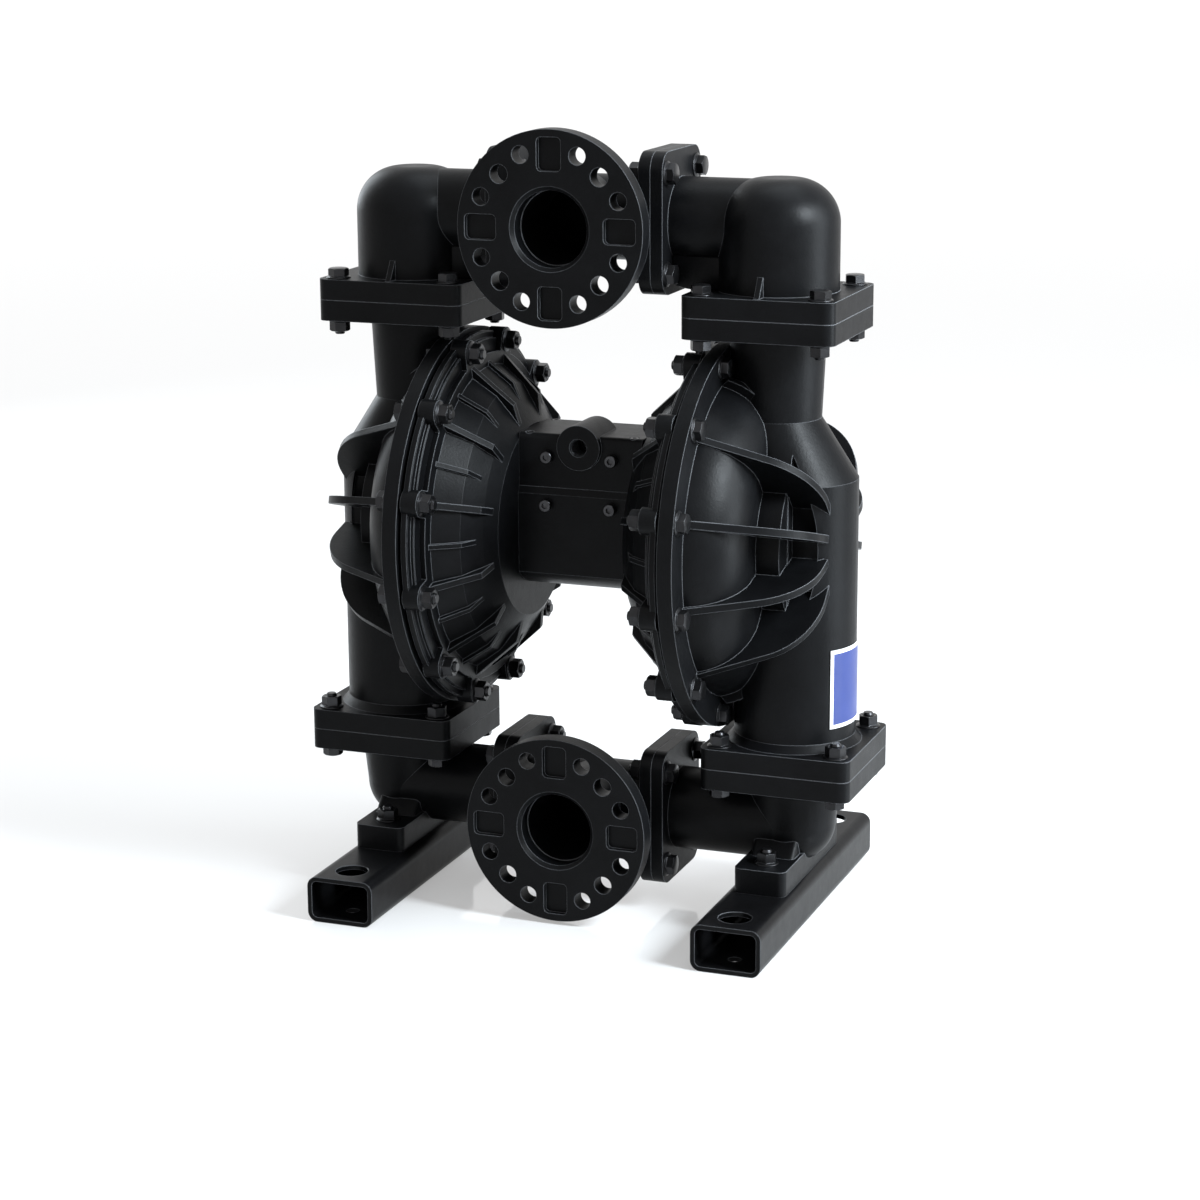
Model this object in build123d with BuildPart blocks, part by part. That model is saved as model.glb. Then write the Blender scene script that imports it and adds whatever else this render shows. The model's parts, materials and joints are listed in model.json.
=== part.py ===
from build123d import *
from math import cos, hypot, radians, sin, sqrt
import os

# Air operated double diaphragm pump with DN 80 / 3 inch centre flanges.
# Frame: X runs from chamber to chamber, both flanges face -Y, Z is up and
# the origin is on the floor under the middle of the pump. Millimetres.

# ---- Driving dimensions -------------------------------------------------

# Heights of the three horizontal centre lines
INLET_Z = 104.0
INLET_SEAM_RISE = 70.0
FLUID_RIM_RADIUS = 203.0
RIM_TO_INLET_SEAM = 33.0
RIM_TO_OUTLET_SEAM = 34.0
OUTLET_RISE = 90.0
RIM_LAND = 13.0
INLET_SEAM_Z = INLET_Z + INLET_SEAM_RISE
AXIS_Z = INLET_SEAM_Z + RIM_TO_INLET_SEAM + FLUID_RIM_RADIUS
OUTLET_SEAM_Z = AXIS_Z + FLUID_RIM_RADIUS + RIM_TO_OUTLET_SEAM
OUTLET_Z = OUTLET_SEAM_Z + OUTLET_RISE
BOLT_CIRCLE = FLUID_RIM_RADIUS - RIM_LAND

# Distance of the fluid columns from the middle of the pump
LOWER_COLUMN_X = 224.0
UPPER_COLUMN_X = 202.0

# Rails
RAIL_X = 215.0
RAIL_WIDTH = 75.0
RAIL_HEIGHT = 50.0
RAIL_LENGTH = 408.0
RAIL_WALL = 5.0
RAIL_CORNER = 11.0
RAIL_MOUNT_Y = 172.0
RAIL_MOUNT_RADIUS = 7.0
RAIL_ACCESS_RADIUS = 17.5

# Combination pipe flange drilled for DN 80 and for 3 inch
FLANGE_FACE_Y = 126.0
FLANGE_RADIUS = 100.0
FLANGE_THICKNESS = 20.0
FLANGE_BORE = 39.0
BORE_CHAMFER = 4.0
DIN_CIRCLE = 80.0
DIN_HOLE = 9.0
ANSI_CIRCLE = 76.2
ANSI_HOLE = 9.5
POCKET_WIDTH = 26.0
POCKET_INNER = 58.0
POCKET_OUTER = 92.0
POCKET_DEPTH = 6.0
POCKET_CORNER = 5.0

# Manifold pipes and the joints between tee and elbow
PIPE_OUTER = 44.0
PIPE_BORE = 38.0
JOINT_X = 84.0
JOINT_PLATE = 13.0
JOINT_DEPTH = 120.0
JOINT_HEIGHT = 146.0
JOINT_CORNER = 20.0
JOINT_BOLT_Y = 46.0
JOINT_BOLT_Z = 51.0
NECK_FILLET = 8.0

# Square clamp plates above and below each valve seat
PLATE_X = 162.0
PLATE_Y = 158.0
PLATE_THICKNESS = 22.0
PLATE_CORNER = 11.0
PLATE_BOLT_X = 63.0
PLATE_BOLT_Y = 62.0

# Balls, seats and cages; heights are above the seam of the clamp plates
BALL_RADIUS = 38.0
BALL_LIFT = 20.0
SEAT_BORE = 32.0
SEAT_RADIUS = 60.0
SEAT_HALF = 6.0
SEAT_LIP_RADIUS = 44.0
SEAT_LIP_HEIGHT = 12.0
SEAT_CHAMFER_WIDTH = 2.3
SEAT_CHAMFER_HEIGHT = 4.0
CAGE_RADIUS = 52.0
CAGE_HEIGHT = 100.0
RIB_THICKNESS = 8.0
RIB_GAP = 1.0
RIB_STOP_RADIUS = 22.0
RIB_STOP_RISE = 20.0
RIB_FOOT_GAP = 4.0
RIB_ROOT = 2.0

# Square-section sealing rings
RING_HEIGHT = 5.0
RING_WIDTH = 5.0
RING_SIDE_GAP = 0.2
SEAT_RING_RADIUS = 52.0
JOINT_RING_RADIUS = 45.5

# Outlet elbow
DOME_RADIUS = 62.5
DOME_TOP_RISE = 46.0
DOME_TOP_Z = OUTLET_Z + DOME_TOP_RISE
DOME_ROUND = 46.0
DOME_WALL = 9.5
GUSSET_REACH = 13.0
GUSSET_HEIGHT = 22.0
GUSSET_THICKNESS = 6.0

# Inlet elbow and its foot
ELBOW_NECK_RADIUS = 50.0
ELBOW_CORNER_RADIUS = 45.0
FOOT_X = 217.0
FOOT_WIDTH = 56.0
FOOT_LENGTH = 200.0
FOOT_THICKNESS = 27.0
FOOT_CORNER = 8.0
FOOT_BOLT_Y = 73.0
SADDLE_WIDTH = 48.0
SADDLE_FOOT_LENGTH = 112.0
SADDLE_TOP_LENGTH = 64.0
SADDLE_CORNER = 6.0

# Fluid cover, turned part
FLUID_RIM_FACE = 157.0
DOME_FOOT_RADIUS = BOLT_CIRCLE - 19.0
DOME_EDGE_X = 208.0
DOME_EDGE_RADIUS = 112.0
DOME_BULGE = 9.0
DRUM_RADIUS = 91.0
DRUM_END_X = 233.0
CHAMBER_MOUTH = BOLT_CIRCLE - 30.0
CHAMBER_WALL = 9.0
CHAMBER_END_X = 226.0

# Fluid cover, columns
LOWER_COLUMN_RADIUS = 64.0
COLUMN_SHOULDER_Z = AXIS_Z + 66.0
COLUMN_NECK_Z = AXIS_Z + 128.0
NECK_RADIUS = 46.0
UPPER_COLUMN_RADIUS = 50.0
COLUMN_BORE = 40.0
NECK_BORE = 37.0
BASE_RING_RADIUS = 71.0
BASE_RING_HEIGHT = 8.0

# Fluid cover, side hollows and fins
HOLLOW_FLOOR_Y = 49.0
HOLLOW_START_X = 234.0
HOLLOW_END_X = 262.0
HOLLOW_HEIGHT = 196.0
FIN_THICKNESS = 8.0
FIN_ANGLES = (15, 45, -15, -45, 135, 165, 195, 225)
FIN_ROOT_RADIUS = BOLT_CIRCLE - 15.0
FIN_SHOULDER_X = 226.0
FIN_SHOULDER_RADIUS = 144.0
FIN_TIP_X = 272.0
FIN_TIP_RADIUS = 72.0
FIN_INNER_RADIUS = 48.0
FIN_BOW_ALONG = 0.76
FIN_BOW_ACROSS = 0.56
ROOT_SINK = 4.0
HUGGING_ANGLES = (75, 105, -75, -105)
HUGGING_RISE = 7.0

# Clamped rims of the two covers
NUT_FACE_X = 120.0
AIR_RIM_FACE = 138.0
DIAPHRAGM_THICKNESS = 3.0
BOLT_COUNT = 12
BOLT_START_ANGLE = 15.0

# Air cover
AIR_RIM_RADIUS = BOLT_CIRCLE - RIM_LAND
LOBE_RADIUS = 14.0
AIR_CONE_RADIUS = BOLT_CIRCLE - 27.0
AIR_WAIST_X = 95.0
AIR_WAIST_RADIUS = AIR_CONE_RADIUS - 19.0
HUB_FACE_X = 69.0
HUB_THICKNESS = 10.0
HUB_RADIUS = AIR_WAIST_RADIUS - 40.0
AIR_HEEL_RADIUS = HUB_RADIUS + 17.0
AIR_CHAMBER_MOUTH = CHAMBER_MOUTH
AIR_CHAMBER_FLOOR = AIR_CHAMBER_MOUTH - 58.0
AIR_RIB_THICKNESS = 7.0
AIR_RIB_ROOT = BOLT_CIRCLE - 16.0
AIR_RIB_KNEE_X = 77.0
AIR_RIB_KNEE_RADIUS = AIR_WAIST_RADIUS - 10.0
SMALL_RIB_THICKNESS = 5.0
SMALL_RIB_RISE = 5.0
SMALL_RIB_CREST = 3.0

# Diaphragm, its plates and the shaft
DIAPHRAGM_RADIUS = BOLT_CIRCLE - 9.0
CONVOLUTION_RADIUS = CHAMBER_MOUTH - 34.0
CONVOLUTION_DEPTH = 18.5
PLATE_GAP = 0.3
DISC_RADIUS = CONVOLUTION_RADIUS - 34.0
INNER_DISC_THICKNESS = 9.0
OUTER_DISC_THICKNESS = 10.0
DISC_ROUND = 4.0
OUTER_HUB_RADIUS = 30.0
OUTER_HUB_HEIGHT = 12.0
SHAFT_RADIUS = 12.7
STUD_RADIUS = 8.0
STUD_LENGTH = 18.0
STROKE = 20.0
RUNNING_GAP = 0.04

# Centre block with the shaft bearings
BLOCK_HALF_DEPTH = 48.0
BLOCK_ROUND = 67.6
LEDGE_HEIGHT = 7.0
BLOCK_SEAM_Z = AXIS_Z + 45.0
BEARING_RADIUS = 18.0
BEARING_INNER_X = 30.0
BEARING_OUTER_X = 62.0
SHAFT_SEAL_GAP = 0.3
HUB_HOLE_RADIUS = 14.0
HUB_SCREW_CIRCLE = 38.0
HUB_SCREW_DEPTH = 22.0

# Pilot pins
PIN_RADIUS = 5.0
PIN_Z = AXIS_Z + 34.0
PIN_LENGTH = 66.0
PIN_REST_GAP = 0.3
PIN_HUB_GAP = 0.5

# Air valve block on top of the centre block
VALVE_HALF_DEPTH = 44.0
VALVE_TOP_Z = AXIS_Z + 102.0
VALVE_ROUND = 6.0
SPOOL_Z = AXIS_Z + 68.0
SPOOL_RADIUS = 13.5
SPOOL_WAIST_RADIUS = 8.5
SPOOL_LENGTH = 96.0
SPOOL_LAND = 14.0
SLEEVE_RADIUS = 18.0
SLEEVE_LENGTH = 120.0
SLEEVE_PORT_RADIUS = 3.0
SLEEVE_PORT_PITCH = 30.0
PORT_Z = AXIS_Z + 90.0
PORT_BOSS_RADIUS = 24.0
PORT_FACE_Y = 50.0
PORT_BOSS_LENGTH = 60.0
PORT_RADIUS = 9.5
PORT_DEPTH = 34.0
PORT_PASSAGE_RADIUS = 6.0
PORT_PASSAGE_DEPTH = 42.0
VALVE_SCREW_X = 58.0
VALVE_SCREW_Y = 36.0
PASSAGE_Y = -26.0
PASSAGE_Z = AXIS_Z + 52.0
PASSAGE_RADIUS = 5.0
PASSAGE_END_X = 34.0
FRONT_SCREW_X = 36.0
UPPER_FRONT_SCREW_Z = AXIS_Z + 78.0
LOWER_FRONT_SCREW_Z = AXIS_Z + 27.0

# Exhaust at the back of the centre block
EXHAUST_Z = AXIS_Z + 20.0
EXHAUST_RADIUS = 13.0
EXHAUST_BOSS_RADIUS = 24.0
EXHAUST_FACE_Y = 60.0
EXHAUST_DEPTH = 36.0
EXHAUST_CHIMNEY = 12.0
MUFFLER_RADIUS = 27.0
MUFFLER_LENGTH = 58.0
MUFFLER_NECK_LENGTH = 14.0
MUFFLER_COLLAR_RADIUS = 19.0
MUFFLER_COLLAR = 6.0
MUFFLER_ROUND = 8.0

# M12 fasteners of the castings
BOLT_RADIUS = 6.0
HOLE_RADIUS = 6.6
HEX_FLATS = 19.0
HEAD_HEIGHT = 8.0
COLLAR_RADIUS = 13.0
COLLAR_HEIGHT = 2.5
NUT_HEIGHT = 10.0
THREAD_PROUD = 3.0

# Socket head screws of the centre section, M8 and M6
SCREW_RADIUS = 4.0
SCREW_HEAD_RADIUS = 6.5
SCREW_HEAD_HEIGHT = 8.0
SMALL_SCREW_RADIUS = 3.0
SMALL_SCREW_HEAD_RADIUS = 5.0
SMALL_SCREW_HEAD_HEIGHT = 6.0
FRONT_SCREW_LENGTH = 20.0

# Label plate on the right-hand column
LABEL_START_ANGLE = 51.0
LABEL_SWEEP = 58.0
LABEL_HEIGHT = 84.0
LABEL_Z = INLET_SEAM_Z + 87.0
LABEL_THICKNESS = 0.8
LABEL_GAP = 0.3

# ---- Derived values -----------------------------------------------------

RIM_FACE = AIR_RIM_FACE + DIAPHRAGM_THICKNESS
INNER_DISC_FACE = AIR_RIM_FACE - PLATE_GAP
OUTER_DISC_FACE = RIM_FACE + PLATE_GAP
SHAFT_END_X = INNER_DISC_FACE - INNER_DISC_THICKNESS
SEAT_SLANT = hypot(SEAT_CHAMFER_WIDTH, SEAT_CHAMFER_HEIGHT)
# Height of the centre of a ball that rests on the chamfer of its seat
BALL_SEATED = (
    SEAT_LIP_HEIGHT
    - SEAT_CHAMFER_HEIGHT
    + ((BALL_RADIUS + RUNNING_GAP) * SEAT_SLANT - SEAT_BORE * SEAT_CHAMFER_HEIGHT)
    / SEAT_CHAMFER_WIDTH
)
RIB_TIP_RADIUS = BALL_RADIUS + RIB_GAP
RIB_STOP_RUN = RIB_TIP_RADIUS - RIB_STOP_RADIUS
# Height at which the sloping stops of the ribs begin, met by a lifted ball
RIB_STOP_Z = (
    BALL_SEATED
    + BALL_LIFT
    + (
        (BALL_RADIUS + RUNNING_GAP) * hypot(RIB_STOP_RUN, RIB_STOP_RISE)
        - RIB_TIP_RADIUS * RIB_STOP_RISE
    )
    / RIB_STOP_RUN
)
# Outer end of a pilot pin that has just been pushed home by its diaphragm disc
PIN_END_X = SHAFT_END_X - STROKE - PIN_REST_GAP

MID_MIN = (Align.CENTER, Align.CENTER, Align.MIN)
MID_MAX = (Align.CENTER, Align.CENTER, Align.MAX)
PUMP_AXIS = Axis((0, 0, AXIS_Z), (1, 0, 0))

os.makedirs("parts", exist_ok=True)


def save(name, part):
    """Labels a finished piece and writes its STEP file."""
    part.label = name
    export_step(part, f"parts/{name}.step")


def save_pair(name, part):
    """Writes the right-hand piece and its mirror image on the left."""
    save(f"{name}_right", part)
    with BuildPart() as left:
        mirror(part, about=Plane.YZ)
    save(f"{name}_left", left.part)


def level_plane(x, z):
    """Level plane with its origin on a column centre line."""
    return Plane(origin=(x, 0, z))


def upside_down_plane(x, z):
    """Level plane facing down."""
    return Plane(origin=(x, 0, z), x_dir=(1, 0, 0), z_dir=(0, 0, -1))


def side_plane(x, z=AXIS_Z):
    """Plane across the pump facing +X; its own x is Y and its own y is Z."""
    return Plane(origin=(x, 0, z), x_dir=(0, 1, 0), z_dir=(1, 0, 0))


def inner_plane(x, z=AXIS_Z):
    """Plane across the pump facing -X."""
    return Plane(origin=(x, 0, z), x_dir=(0, -1, 0), z_dir=(-1, 0, 0))


def front_plane(y, z, x=0.0):
    """Plane facing the front, with Z up."""
    return Plane(origin=(x, y, z), x_dir=(1, 0, 0), z_dir=(0, -1, 0))


def back_plane(y, z, x=0.0):
    """Plane facing the back, with Z up."""
    return Plane(origin=(x, y, z), x_dir=(-1, 0, 0), z_dir=(0, 1, 0))


def radial_plane(angle):
    """Plane through the diaphragm axis, turned up from the front by angle."""
    turn = radians(angle)
    return Plane(origin=(0, 0, AXIS_Z), x_dir=(1, 0, 0), z_dir=(0, -sin(turn), -cos(turn)))


# ---- Fasteners ----------------------------------------------------------


def hex_bolt(grip):
    """M12 collar bolt seated at Z 0 with its head up, long enough for a nut."""
    with BuildPart() as bolt:
        Cylinder(BOLT_RADIUS, grip + COLLAR_HEIGHT + NUT_HEIGHT + THREAD_PROUD, align=MID_MAX)
        Cylinder(COLLAR_RADIUS, COLLAR_HEIGHT, align=MID_MIN)
        with BuildSketch(Plane.XY.offset(COLLAR_HEIGHT)):
            RegularPolygon(HEX_FLATS / 2, 6, major_radius=False)
        extrude(amount=HEAD_HEIGHT)
    return bolt.part


def hex_nut():
    """M12 collar nut seated at Z 0."""
    with BuildPart() as nut:
        Cylinder(COLLAR_RADIUS, COLLAR_HEIGHT, align=MID_MIN)
        with BuildSketch(Plane.XY.offset(COLLAR_HEIGHT)):
            RegularPolygon(HEX_FLATS / 2, 6, major_radius=False)
        extrude(amount=NUT_HEIGHT)
        Cylinder(BOLT_RADIUS, COLLAR_HEIGHT + NUT_HEIGHT, align=MID_MIN, mode=Mode.SUBTRACT)
    return nut.part


def socket_screw(length, radius, head_radius, head_height):
    """Socket head screw seated at Z 0 with its head up."""
    with BuildPart() as screw:
        Cylinder(radius, length, align=MID_MAX)
        Cylinder(head_radius, head_height, align=MID_MIN)
    return screw.part


# ---- Rails --------------------------------------------------------------

with BuildPart() as rail:
    with BuildSketch(front_plane(-RAIL_LENGTH / 2, RAIL_HEIGHT / 2, RAIL_X)):
        RectangleRounded(RAIL_WIDTH, RAIL_HEIGHT, RAIL_CORNER)
        RectangleRounded(
            RAIL_WIDTH - 2 * RAIL_WALL,
            RAIL_HEIGHT - 2 * RAIL_WALL,
            RAIL_CORNER - RAIL_WALL,
            mode=Mode.SUBTRACT,
        )
    extrude(amount=-RAIL_LENGTH)
    with BuildSketch(level_plane(RAIL_X, RAIL_HEIGHT)):
        with GridLocations(0, 2 * RAIL_MOUNT_Y, 1, 2):
            Circle(RAIL_ACCESS_RADIUS)
        with Locations((FOOT_X - RAIL_X, 0)):
            with GridLocations(0, 2 * FOOT_BOLT_Y, 1, 2):
                Circle(HOLE_RADIUS)
    extrude(amount=-RAIL_WALL, mode=Mode.SUBTRACT)
    with BuildSketch(level_plane(RAIL_X, 0)):
        with GridLocations(0, 2 * RAIL_MOUNT_Y, 1, 2):
            Circle(RAIL_MOUNT_RADIUS)
    extrude(amount=RAIL_WALL, mode=Mode.SUBTRACT)
save_pair("rail", rail.part)

# ---- Details shared by the manifold castings and the fluid covers -------


def joint_plate(x, z):
    """Rounded plate of a tee-to-elbow joint, from x outwards."""
    with BuildSketch(side_plane(x, z)) as plate:
        RectangleRounded(JOINT_DEPTH, JOINT_HEIGHT, JOINT_CORNER)
    extrude(plate.sketch, amount=JOINT_PLATE)


def joint_holes(x, z):
    """Four bolt holes through a joint plate that starts at x."""
    with BuildSketch(side_plane(x, z)) as holes:
        with GridLocations(2 * JOINT_BOLT_Y, 2 * JOINT_BOLT_Z, 2, 2):
            Circle(HOLE_RADIUS)
    extrude(holes.sketch, amount=JOINT_PLATE, mode=Mode.SUBTRACT)


def cross_pipe(start_x, end_x, z, radius, mode=Mode.ADD):
    """Round bar or bore along X."""
    with BuildSketch(side_plane(start_x, z)) as section:
        Circle(radius)
    extrude(section.sketch, amount=end_x - start_x, mode=mode)


def clamp_plate(x, z):
    """Rounded square plate of a valve seat, from z upwards."""
    with BuildSketch(level_plane(x, z)) as plate:
        RectangleRounded(PLATE_X, PLATE_Y, PLATE_CORNER)
    extrude(plate.sketch, amount=PLATE_THICKNESS)


def clamp_holes(x, z):
    """Four bolt holes through a clamp plate that starts at z."""
    with BuildSketch(level_plane(x, z)) as holes:
        with GridLocations(2 * PLATE_BOLT_X, 2 * PLATE_BOLT_Y, 2, 2):
            Circle(HOLE_RADIUS)
    extrude(holes.sketch, amount=PLATE_THICKNESS, mode=Mode.SUBTRACT)


def seat_recess(x, seam, side):
    """Recess for one half of a seat, above (1) or below (-1) the seam."""
    with BuildSketch(level_plane(x, seam)) as recess:
        Circle(SEAT_RADIUS + RUNNING_GAP)
    extrude(recess.sketch, amount=side * SEAT_HALF, mode=Mode.SUBTRACT)


def ring_section(radius):
    """Flat ring with the width of a sealing ring."""
    Circle(radius + RING_WIDTH / 2)
    Circle(radius - RING_WIDTH / 2, mode=Mode.SUBTRACT)


def seat_groove(x, seam):
    """Groove for the sealing ring under a seat."""
    with BuildSketch(level_plane(x, seam - SEAT_HALF)) as groove:
        ring_section(SEAT_RING_RADIUS)
    extrude(groove.sketch, amount=-RING_HEIGHT, mode=Mode.SUBTRACT)


def cage_ribs(x, seam):
    """Four ribs that guide a ball, with sloping stops above it."""
    for turn in (45, 135, 225, 315):
        rib_plane = Plane(
            origin=(x, 0, seam),
            x_dir=(cos(radians(turn)), sin(radians(turn)), 0),
            z_dir=(sin(radians(turn)), -cos(radians(turn)), 0),
        )
        with BuildSketch(rib_plane) as rib:
            with BuildLine():
                Polyline(
                    (RIB_TIP_RADIUS, SEAT_LIP_HEIGHT + RIB_FOOT_GAP),
                    (CAGE_RADIUS + RIB_ROOT, SEAT_LIP_HEIGHT + RIB_FOOT_GAP),
                    (CAGE_RADIUS + RIB_ROOT, CAGE_HEIGHT),
                    (RIB_STOP_RADIUS, CAGE_HEIGHT),
                    (RIB_STOP_RADIUS, RIB_STOP_Z + RIB_STOP_RISE),
                    (RIB_TIP_RADIUS, RIB_STOP_Z),
                    close=True,
                )
            make_face()
        extrude(rib.sketch, amount=RIB_THICKNESS / 2, both=True)


# ---- Tees with the pipe flange ------------------------------------------


def flange_tee(z):
    """Middle casting of a manifold: pipe, two joint plates and the flange."""
    with BuildPart() as tee:
        cross_pipe(-JOINT_X, JOINT_X, z, PIPE_OUTER)
        with BuildSketch(front_plane(0, z)):
            Circle(PIPE_OUTER)
        extrude(amount=FLANGE_FACE_Y)
        with BuildSketch(front_plane(-FLANGE_FACE_Y, z)):
            Circle(FLANGE_RADIUS)
        extrude(amount=-FLANGE_THICKNESS)
        neck_y = FLANGE_THICKNESS - FLANGE_FACE_Y
        circles = tee.edges().filter_by(GeomType.CIRCLE)
        necks = [
            edge
            for edge in circles
            if abs(edge.radius - PIPE_OUTER) < 0.1 and abs(edge.center().Y - neck_y) < 0.1
        ]
        fillet(necks, NECK_FILLET)
        for x in (-JOINT_X, JOINT_X - JOINT_PLATE):
            joint_plate(x, z)
            joint_holes(x, z)
        with BuildSketch(front_plane(-FLANGE_FACE_Y, z)):
            with PolarLocations(DIN_CIRCLE, 8, start_angle=22.5):
                Circle(DIN_HOLE)
            with PolarLocations(ANSI_CIRCLE, 4, start_angle=45):
                Circle(ANSI_HOLE)
        extrude(amount=-FLANGE_THICKNESS, mode=Mode.SUBTRACT)
        with BuildSketch(front_plane(-FLANGE_FACE_Y, z)):
            with PolarLocations((POCKET_INNER + POCKET_OUTER) / 2, 4):
                RectangleRounded(POCKET_OUTER - POCKET_INNER, POCKET_WIDTH, POCKET_CORNER)
        extrude(amount=-POCKET_DEPTH, mode=Mode.SUBTRACT)
        cross_pipe(-JOINT_X, JOINT_X, z, PIPE_BORE, Mode.SUBTRACT)
        with BuildSketch(front_plane(-FLANGE_FACE_Y, z)):
            Circle(FLANGE_BORE + BORE_CHAMFER)
        extrude(amount=-BORE_CHAMFER, taper=45, mode=Mode.SUBTRACT)
        with BuildSketch(front_plane(-FLANGE_FACE_Y, z)):
            Circle(FLANGE_BORE)
        extrude(amount=-FLANGE_THICKNESS, mode=Mode.SUBTRACT)
        with BuildSketch(front_plane(-FLANGE_FACE_Y, z)):
            Circle(PIPE_BORE)
        extrude(amount=-FLANGE_FACE_Y, mode=Mode.SUBTRACT)
        for seam in (side_plane(JOINT_X, z), inner_plane(-JOINT_X, z)):
            with BuildSketch(seam):
                ring_section(JOINT_RING_RADIUS)
            extrude(amount=-RING_HEIGHT, mode=Mode.SUBTRACT)
    return tee.part


save("inlet_tee", flange_tee(INLET_Z))
save("outlet_tee", flange_tee(OUTLET_Z))

# ---- Inlet elbow with its foot ------------------------------------------

with BuildPart() as inlet_elbow:
    clamp_plate(LOWER_COLUMN_X, INLET_SEAM_Z - PLATE_THICKNESS)
    with BuildSketch(level_plane(LOWER_COLUMN_X, INLET_Z)):
        Circle(ELBOW_CORNER_RADIUS)
    with BuildSketch(level_plane(LOWER_COLUMN_X, INLET_SEAM_Z - PLATE_THICKNESS)):
        Circle(ELBOW_NECK_RADIUS)
    loft()
    with Locations((LOWER_COLUMN_X, 0, INLET_Z)):
        Sphere(ELBOW_CORNER_RADIUS)
    cross_pipe(JOINT_X, LOWER_COLUMN_X, INLET_Z, PIPE_OUTER)
    joint_plate(JOINT_X, INLET_Z)
    with BuildSketch(level_plane(FOOT_X, RAIL_HEIGHT)):
        RectangleRounded(FOOT_WIDTH, FOOT_LENGTH, FOOT_CORNER)
    extrude(amount=FOOT_THICKNESS)
    with BuildSketch(level_plane(FOOT_X, RAIL_HEIGHT + FOOT_THICKNESS)):
        RectangleRounded(SADDLE_WIDTH, SADDLE_FOOT_LENGTH, SADDLE_CORNER)
    with BuildSketch(level_plane(FOOT_X, INLET_Z)):
        RectangleRounded(SADDLE_WIDTH, SADDLE_TOP_LENGTH, SADDLE_CORNER)
    loft()
    with BuildSketch(level_plane(LOWER_COLUMN_X, INLET_SEAM_Z)):
        Circle(PIPE_BORE)
    extrude(amount=INLET_Z - INLET_SEAM_Z, mode=Mode.SUBTRACT)
    with Locations((LOWER_COLUMN_X, 0, INLET_Z)):
        Sphere(PIPE_BORE, mode=Mode.SUBTRACT)
    cross_pipe(JOINT_X, LOWER_COLUMN_X, INLET_Z, PIPE_BORE, Mode.SUBTRACT)
    joint_holes(JOINT_X, INLET_Z)
    seat_recess(LOWER_COLUMN_X, INLET_SEAM_Z, -1)
    seat_groove(LOWER_COLUMN_X, INLET_SEAM_Z)
    clamp_holes(LOWER_COLUMN_X, INLET_SEAM_Z - PLATE_THICKNESS)
    with BuildSketch(level_plane(FOOT_X, RAIL_HEIGHT)):
        with GridLocations(0, 2 * FOOT_BOLT_Y, 1, 2):
            Circle(HOLE_RADIUS)
    extrude(amount=FOOT_THICKNESS, mode=Mode.SUBTRACT)
save_pair("inlet_elbow", inlet_elbow.part)

# ---- Outlet elbow -------------------------------------------------------

with BuildPart() as ball_dome:
    with BuildSketch(level_plane(UPPER_COLUMN_X, OUTLET_SEAM_Z)):
        Circle(CAGE_RADIUS)
    extrude(amount=DOME_TOP_Z - DOME_WALL - OUTLET_SEAM_Z)
    fillet(ball_dome.edges().group_by(Axis.Z)[-1], DOME_ROUND - DOME_WALL)

with BuildPart() as outlet_elbow:
    with BuildSketch(level_plane(UPPER_COLUMN_X, OUTLET_SEAM_Z)):
        Circle(DOME_RADIUS)
    extrude(amount=DOME_TOP_Z - OUTLET_SEAM_Z)
    fillet(outlet_elbow.edges().group_by(Axis.Z)[-1], DOME_ROUND)
    cross_pipe(JOINT_X, UPPER_COLUMN_X, OUTLET_Z, PIPE_OUTER)
    joint_plate(JOINT_X, OUTLET_Z)
    clamp_plate(UPPER_COLUMN_X, OUTLET_SEAM_Z)
    # Gussets between the dome and the front and back of its clamp plate
    with BuildSketch(side_plane(UPPER_COLUMN_X, OUTLET_SEAM_Z + PLATE_THICKNESS)):
        with BuildLine():
            Polyline(
                (-DOME_RADIUS - GUSSET_REACH, 0),
                (DOME_RADIUS + GUSSET_REACH, 0),
                (DOME_RADIUS - 1, GUSSET_HEIGHT),
                (1 - DOME_RADIUS, GUSSET_HEIGHT),
                close=True,
            )
        make_face()
    extrude(amount=GUSSET_THICKNESS / 2, both=True)
    add(ball_dome.part, mode=Mode.SUBTRACT)
    cross_pipe(JOINT_X, UPPER_COLUMN_X, OUTLET_Z, PIPE_BORE, Mode.SUBTRACT)
    cage_ribs(UPPER_COLUMN_X, OUTLET_SEAM_Z)
    joint_holes(JOINT_X, OUTLET_Z)
    seat_recess(UPPER_COLUMN_X, OUTLET_SEAM_Z, 1)
    clamp_holes(UPPER_COLUMN_X, OUTLET_SEAM_Z)
save_pair("outlet_elbow", outlet_elbow.part)

# ---- Fluid cover --------------------------------------------------------


def dome_line(rise):
    """Curved outline of the dome, raised outwards by rise."""
    ThreePointArc(
        (FLUID_RIM_FACE + rise, DOME_FOOT_RADIUS + rise),
        (
            (FLUID_RIM_FACE + DOME_EDGE_X) / 2 + DOME_BULGE + rise,
            (DOME_FOOT_RADIUS + DOME_EDGE_RADIUS) / 2 + DOME_BULGE + rise,
        ),
        (DOME_EDGE_X + rise, DOME_EDGE_RADIUS + rise),
    )


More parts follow.
